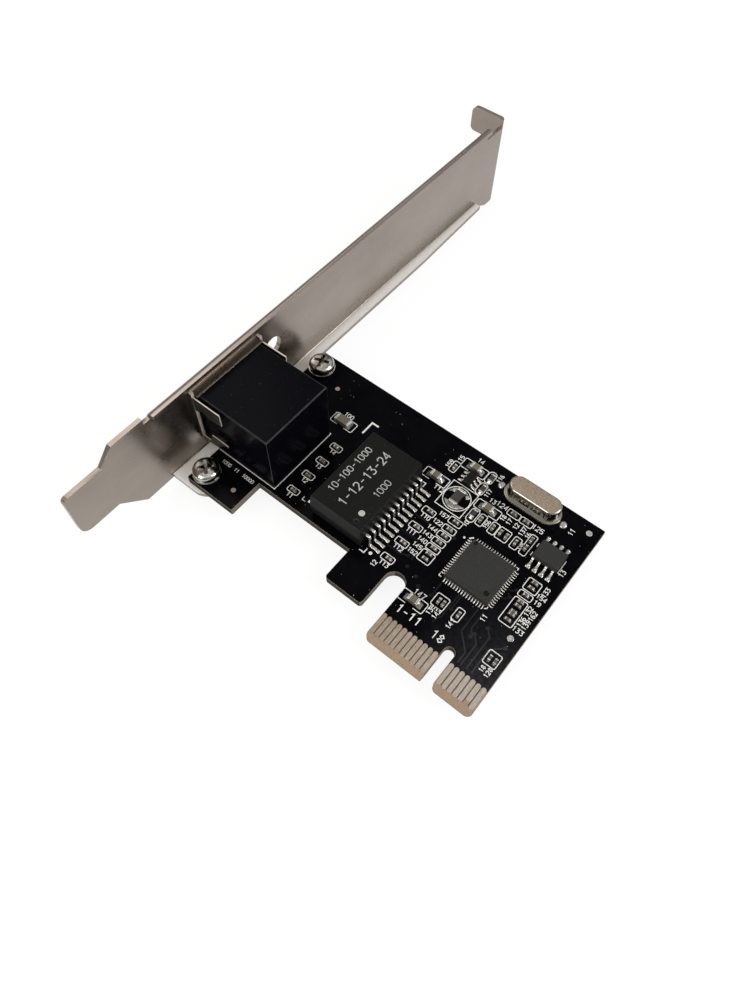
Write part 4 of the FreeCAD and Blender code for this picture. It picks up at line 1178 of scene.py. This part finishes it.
# Plain numbers beside the parts, by their height and turn in degrees: text, x and y
NUMBERS = {
    (0.75, 0): [
        ("110", -17.2, 18.0), ("111", -17.4, 14.2), ("112", -17.2, 10.4), ("113", -17.2, 6.6),
        ("157", -14.95, 20.2), ("122", -14.95, 18.45), ("144", -14.95, 16.9), ("143", -14.95, 15.5),
        ("140", -14.95, 14.1), ("145", -14.95, 12.7), ("152", -14.95, 11.35), ("154", 6.25, 17.7),
        ("19", 6.2, 16.5), ("14", -37.9, 18.05), ("13", -37.9, 14.25), ("12", -37.9, 10.5),
        ("11", -37.9, 6.6),
    ],
    (0.75, 90): [
        ("135", -6.45, 4.95), ("142", -5.3, 4.95), ("141", -2.6, 5.0), ("133", 6.3, 18.95),
        ("132", 5.85, 14.5), ("162", 6.85, 14.2), ("136", 5.9, 12.3), ("139", 6.8, 12.3),
        ("159", -20.3, 29.3), ("18", -6.75, 26.1), ("17", -5.55, 26.1), ("12", -4.15, 26.1),
        ("137", -2.75, 26.0), ("12", -18.55, 5.6),
    ],
    (0.7, 90): [
        ("116", -11.5, 32.3), ("117", -11.5, 28.5), ("12", -10.75, 31.3), ("16", -1.65, 25.9),
        ("156", -8.25, 23.3), ("10", -11.1, 21.2), ("128", 6.5, 2.2), ("18", 5.4, 2.2),
    ],
    (0.8, 0): [
        ("133", 6.3, 10.7), ("13", -10.0, 27.7), ("14", -16.2, 33.2), ("112", -18.7, 23.9),
        ("100", -40.7, 26.05),
    ],
    (0.8, 90): [("11", 0.95, 9.1), ("15", -19.3, 31.5)],
    (0.85, 90): [("13", 6.55, 23.5), ("11", 3.75, 31.1)],
    (0.9, 0): [("147", -9.35, 6.0), ("124", -8.2, 28.0), ("125", -1.0, 28.0)],
    (0.6, 90): [("138", -1.5, 23.4)],
}

# Finer numbers beside the socket and bolder ones above the contacts: text, x, y, height, turn and line
OTHER_NUMBERS = [
    ("1000", -50.8, 4.45, 0.62, 0, 0.09),
    ("11", -48.4, 4.45, 0.62, 0, 0.09),
    ("10000", -45.7, 4.45, 0.62, 0, 0.09),
    ("1-11", -8.6, 2.05, 1.4, 0, 0.2),
    ("18", -2.9, 2.05, 1.4, 0, 0.17),
]

# The socket's outline, corner marks and strokes: points and width
MARKS = [
    ([(-36.4, 24.6), (-36.4, 27.5), (-34.95, 27.5)], BOLD_LINE),
    ([(-21.7, 23.3), (-21.1, 23.3), (-21.1, 22.4)], 0.2),
    ([(-22.0, 6.1), (-21.05, 6.1), (-21.05, 7.05)], 0.2),
    ([(-35.0, 7.3), (-35.7, 7.3), (-35.7, 8.0)], FINE_LINE),
    ([(-53.9, 20.86), (-40.72, 20.86), (-40.72, 5.84), (-53.9, 5.84)], FINE_LINE),
    ([(0.62, 23.1), (0.62, 23.9)], FINE_LINE),
    ([(0.62, 25.1), (0.62, 25.9)], FINE_LINE),
    ([(5.9, 23.1), (5.9, 25.9)], 0.12),
    ([(-9.0, 19.25), (-8.45, 19.85)], 0.25),
    ([(-9.0, 11.1), (-9.0, 10.65), (-8.5, 10.65)], FINE_LINE),
    ([(0.05, 10.45), (0.4, 10.75), (0.4, 11.1)], FINE_LINE),
    ([(0.05, 19.8), (0.5, 19.8), (0.5, 19.4)], FINE_LINE),
]

# The ring and the square round the coil, and dots: x, y and radius
COIL_RING = 2.45
COIL_SQUARE = [(-17.7, 21.3), (-12.5, 21.3), (-12.5, 27.05), (-17.7, 27.05)]
DOTS = [(-20.1, 6.7, 0.32), (-9.75, 18.9, 0.2)]


def make_frames():
    ink = Solid()
    boxes = [(*xs, *ys) for xs, column in FRAME_COLUMNS.items() for ys in column]
    boxes += [(*xs, *ys) for ys, row in FRAME_ROWS.items() for xs in row]
    for radius, frames in ((FRAME_RADIUS, boxes), (PILL_RADIUS, PILL_FRAMES)):
        for box in frames:
            ink.line(rounded_box(*box, radius), FRAME_LINE, closed=True)
    for x0, x1, y0, y1 in SPLIT_FRAMES:
        end = (x0 + x1 - SPLIT_GAP) / 2
        points = rounded_box(x0, x1, y0, y1, FRAME_RADIUS)
        left = [(end, y1), *points[len(points) // 2:], (end, y0)]
        ink.line(left, FRAME_LINE)
        ink.line([(x0 + x1 - x, y) for x, y in left], FRAME_LINE)
    ink.piece("printed_frames", "ink", "board_laminate")


def make_marks():
    ink = Solid()
    ink.line(arc(*COIL_MIDDLE, COIL_RING, 0, 354, 40), closed=True)
    ink.line(COIL_SQUARE, closed=True)
    for points, width in MARKS:
        ink.line(points, width)
    for x, y, radius in DOTS:
        ink.prism(arc(x, y, radius, 0, 345, 23), INK_LOW, INK_TOP)
    ink.piece("printed_marks", "ink", "board_laminate")


def make_numbers():
    ink = Solid()
    for (height, turn), texts in NUMBERS.items():
        for text, x, y in texts:
            number(ink, text, x, y, height, turn)
    for entry in OTHER_NUMBERS:
        number(ink, *entry)
    ink.piece("printed_numbers", "ink", "board_laminate")


TEST_POINTS = [(6.15, 32.8), (6.1, 8.95), (-46.4, 29.5), (-46.05, 1.2)]
TEST_POINT_RIM = [(0.44, INK_LOW), (0.54, INK_LOW), (0.54, 0.02), (0.51, 0.045), (0.46, 0.045)]


def make_test_points():
    """Round test points of bare copper, those near the chips inside a rim of solder."""
    rims = Solid()
    discs = Solid()
    for x, y in TEST_POINTS:
        discs.prism(arc(x, y, 0.45, 0, 350, 35), INK_LOW, SOLDER_LAND)
        if x > 0:
            rims.lathe(x, y, TEST_POINT_RIM, 36)
    discs.piece("test_point_copper", "contact", "bus_contact")
    rims.piece("test_point_rims", "tin", "tinned_lead", 50)


# Camera, light and floor

# The sky's colour at a low and at a high direction
SKY = [(0.2, (0.22, 0.225, 0.235)), (0.75, (0.82, 0.80, 0.77))]

# Half the floor's side, the room under the card, and the share of plain white that the floor shows to
# the camera and in reflections, all sizes in metres from here on
FLOOR_REACH = 3.0
FLOOR_ROOM = 0.00002
FLOOR_WHITE = 0.88

# Lamps: name, place, side, watts and colour; all look at LAMP_AIM
LAMPS = [
    ("key", (-0.15, -0.7, 0.5), 0.5, 5.0, (1.0, 0.97, 0.93)),
    ("fill", (0.6, 0.25, 0.45), 0.5, 5.0, (0.96, 0.98, 1.0)),
    ("top", (-0.5, 0.2, 0.72), 0.35, 0.8, (1.0, 0.98, 0.96)),
]
LAMP_AIM = (-0.025, 0.02, 0.0)


def make_camera():
    camera = bpy.data.cameras.new("camera")
    camera.sensor_width = 36
    camera.lens = CAMERA_LENS
    camera.clip_start = 0.002
    camera.clip_end = 20
    obj = add_object("camera", camera)
    obj.location = Vector(CAMERA_PLACE) * MM
    obj.rotation_euler = Euler([math.radians(a) for a in CAMERA_TURN], "XYZ")
    bpy.context.scene.camera = obj


def make_lamps():
    for name, place, side, watts, color in LAMPS:
        lamp = bpy.data.lights.new(name, "AREA")
        lamp.shape = "SQUARE"
        lamp.size = side
        lamp.energy = watts
        lamp.color = color
        obj = add_object(name, lamp)
        obj.location = place
        direction = Vector(LAMP_AIM) - Vector(place)
        obj.rotation_euler = direction.to_track_quat("-Z", "Y").to_euler()


def floor_material():
    """White to the camera and in reflections, and shaded where the card throws its shadow."""
    m = Shader("white_floor", 0.8, 0.0, 0.1)
    m.color(m.tones(m.noise(0.02, 2.0), (0.94, 0.94, 0.945), (0.96, 0.96, 0.965)))
    path = m.add("LightPath", {}).outputs
    seen = m.math("MAXIMUM", path["Is Camera Ray"], path["Is Glossy Ray"])
    seen = m.math("MAXIMUM", seen, path["Is Transmission Ray"])
    share = m.math("MULTIPLY", seen, FLOOR_WHITE)
    m.link(m.blend(share, m.bsdf, m.add("Emission", {})), m.output.inputs[0])
    return m.material


def make_floor():
    r = FLOOR_REACH
    z = cad_low[2] - FLOOR_ROOM
    mesh = bpy.data.meshes.new("floor")
    mesh.from_pydata([(-r, -r, z), (r, -r, z), (r, r, z), (-r, r, z)], [], [[0, 1, 2, 3]])
    mesh.materials.append(floor_material())
    add_object("floor", mesh)


def make_world():
    """White to the camera; to everything else a soft sky, brighter overhead than at the horizon."""
    world = bpy.data.worlds.new("studio")
    bpy.context.scene.world = world
    w = Nodes(world)
    direction = w.add("SeparateXYZ", {0: w.add("TexCoord", {}).outputs["Generated"]})
    sky = w.add("Background", {"Color": w.ramp(direction.outputs["Z"], SKY)})
    white = w.add("Background", {"Color": 1})
    camera_ray = w.add("LightPath", {}).outputs["Is Camera Ray"]
    w.add("OutputWorld", {0: w.blend(camera_ray, sky, white)})


dress_nodes()
make_bracket()
make_package_tops()
make_contacts()
make_bent_leads()
make_solder()
make_controller_solder()
make_pin_joints()
make_crystal()
make_screws()
make_masked_copper()
make_frames()
make_marks()
make_numbers()
make_test_points()
make_camera()
make_world()
make_floor()
make_lamps()
bpy.context.scene.view_settings.view_transform = "Standard"
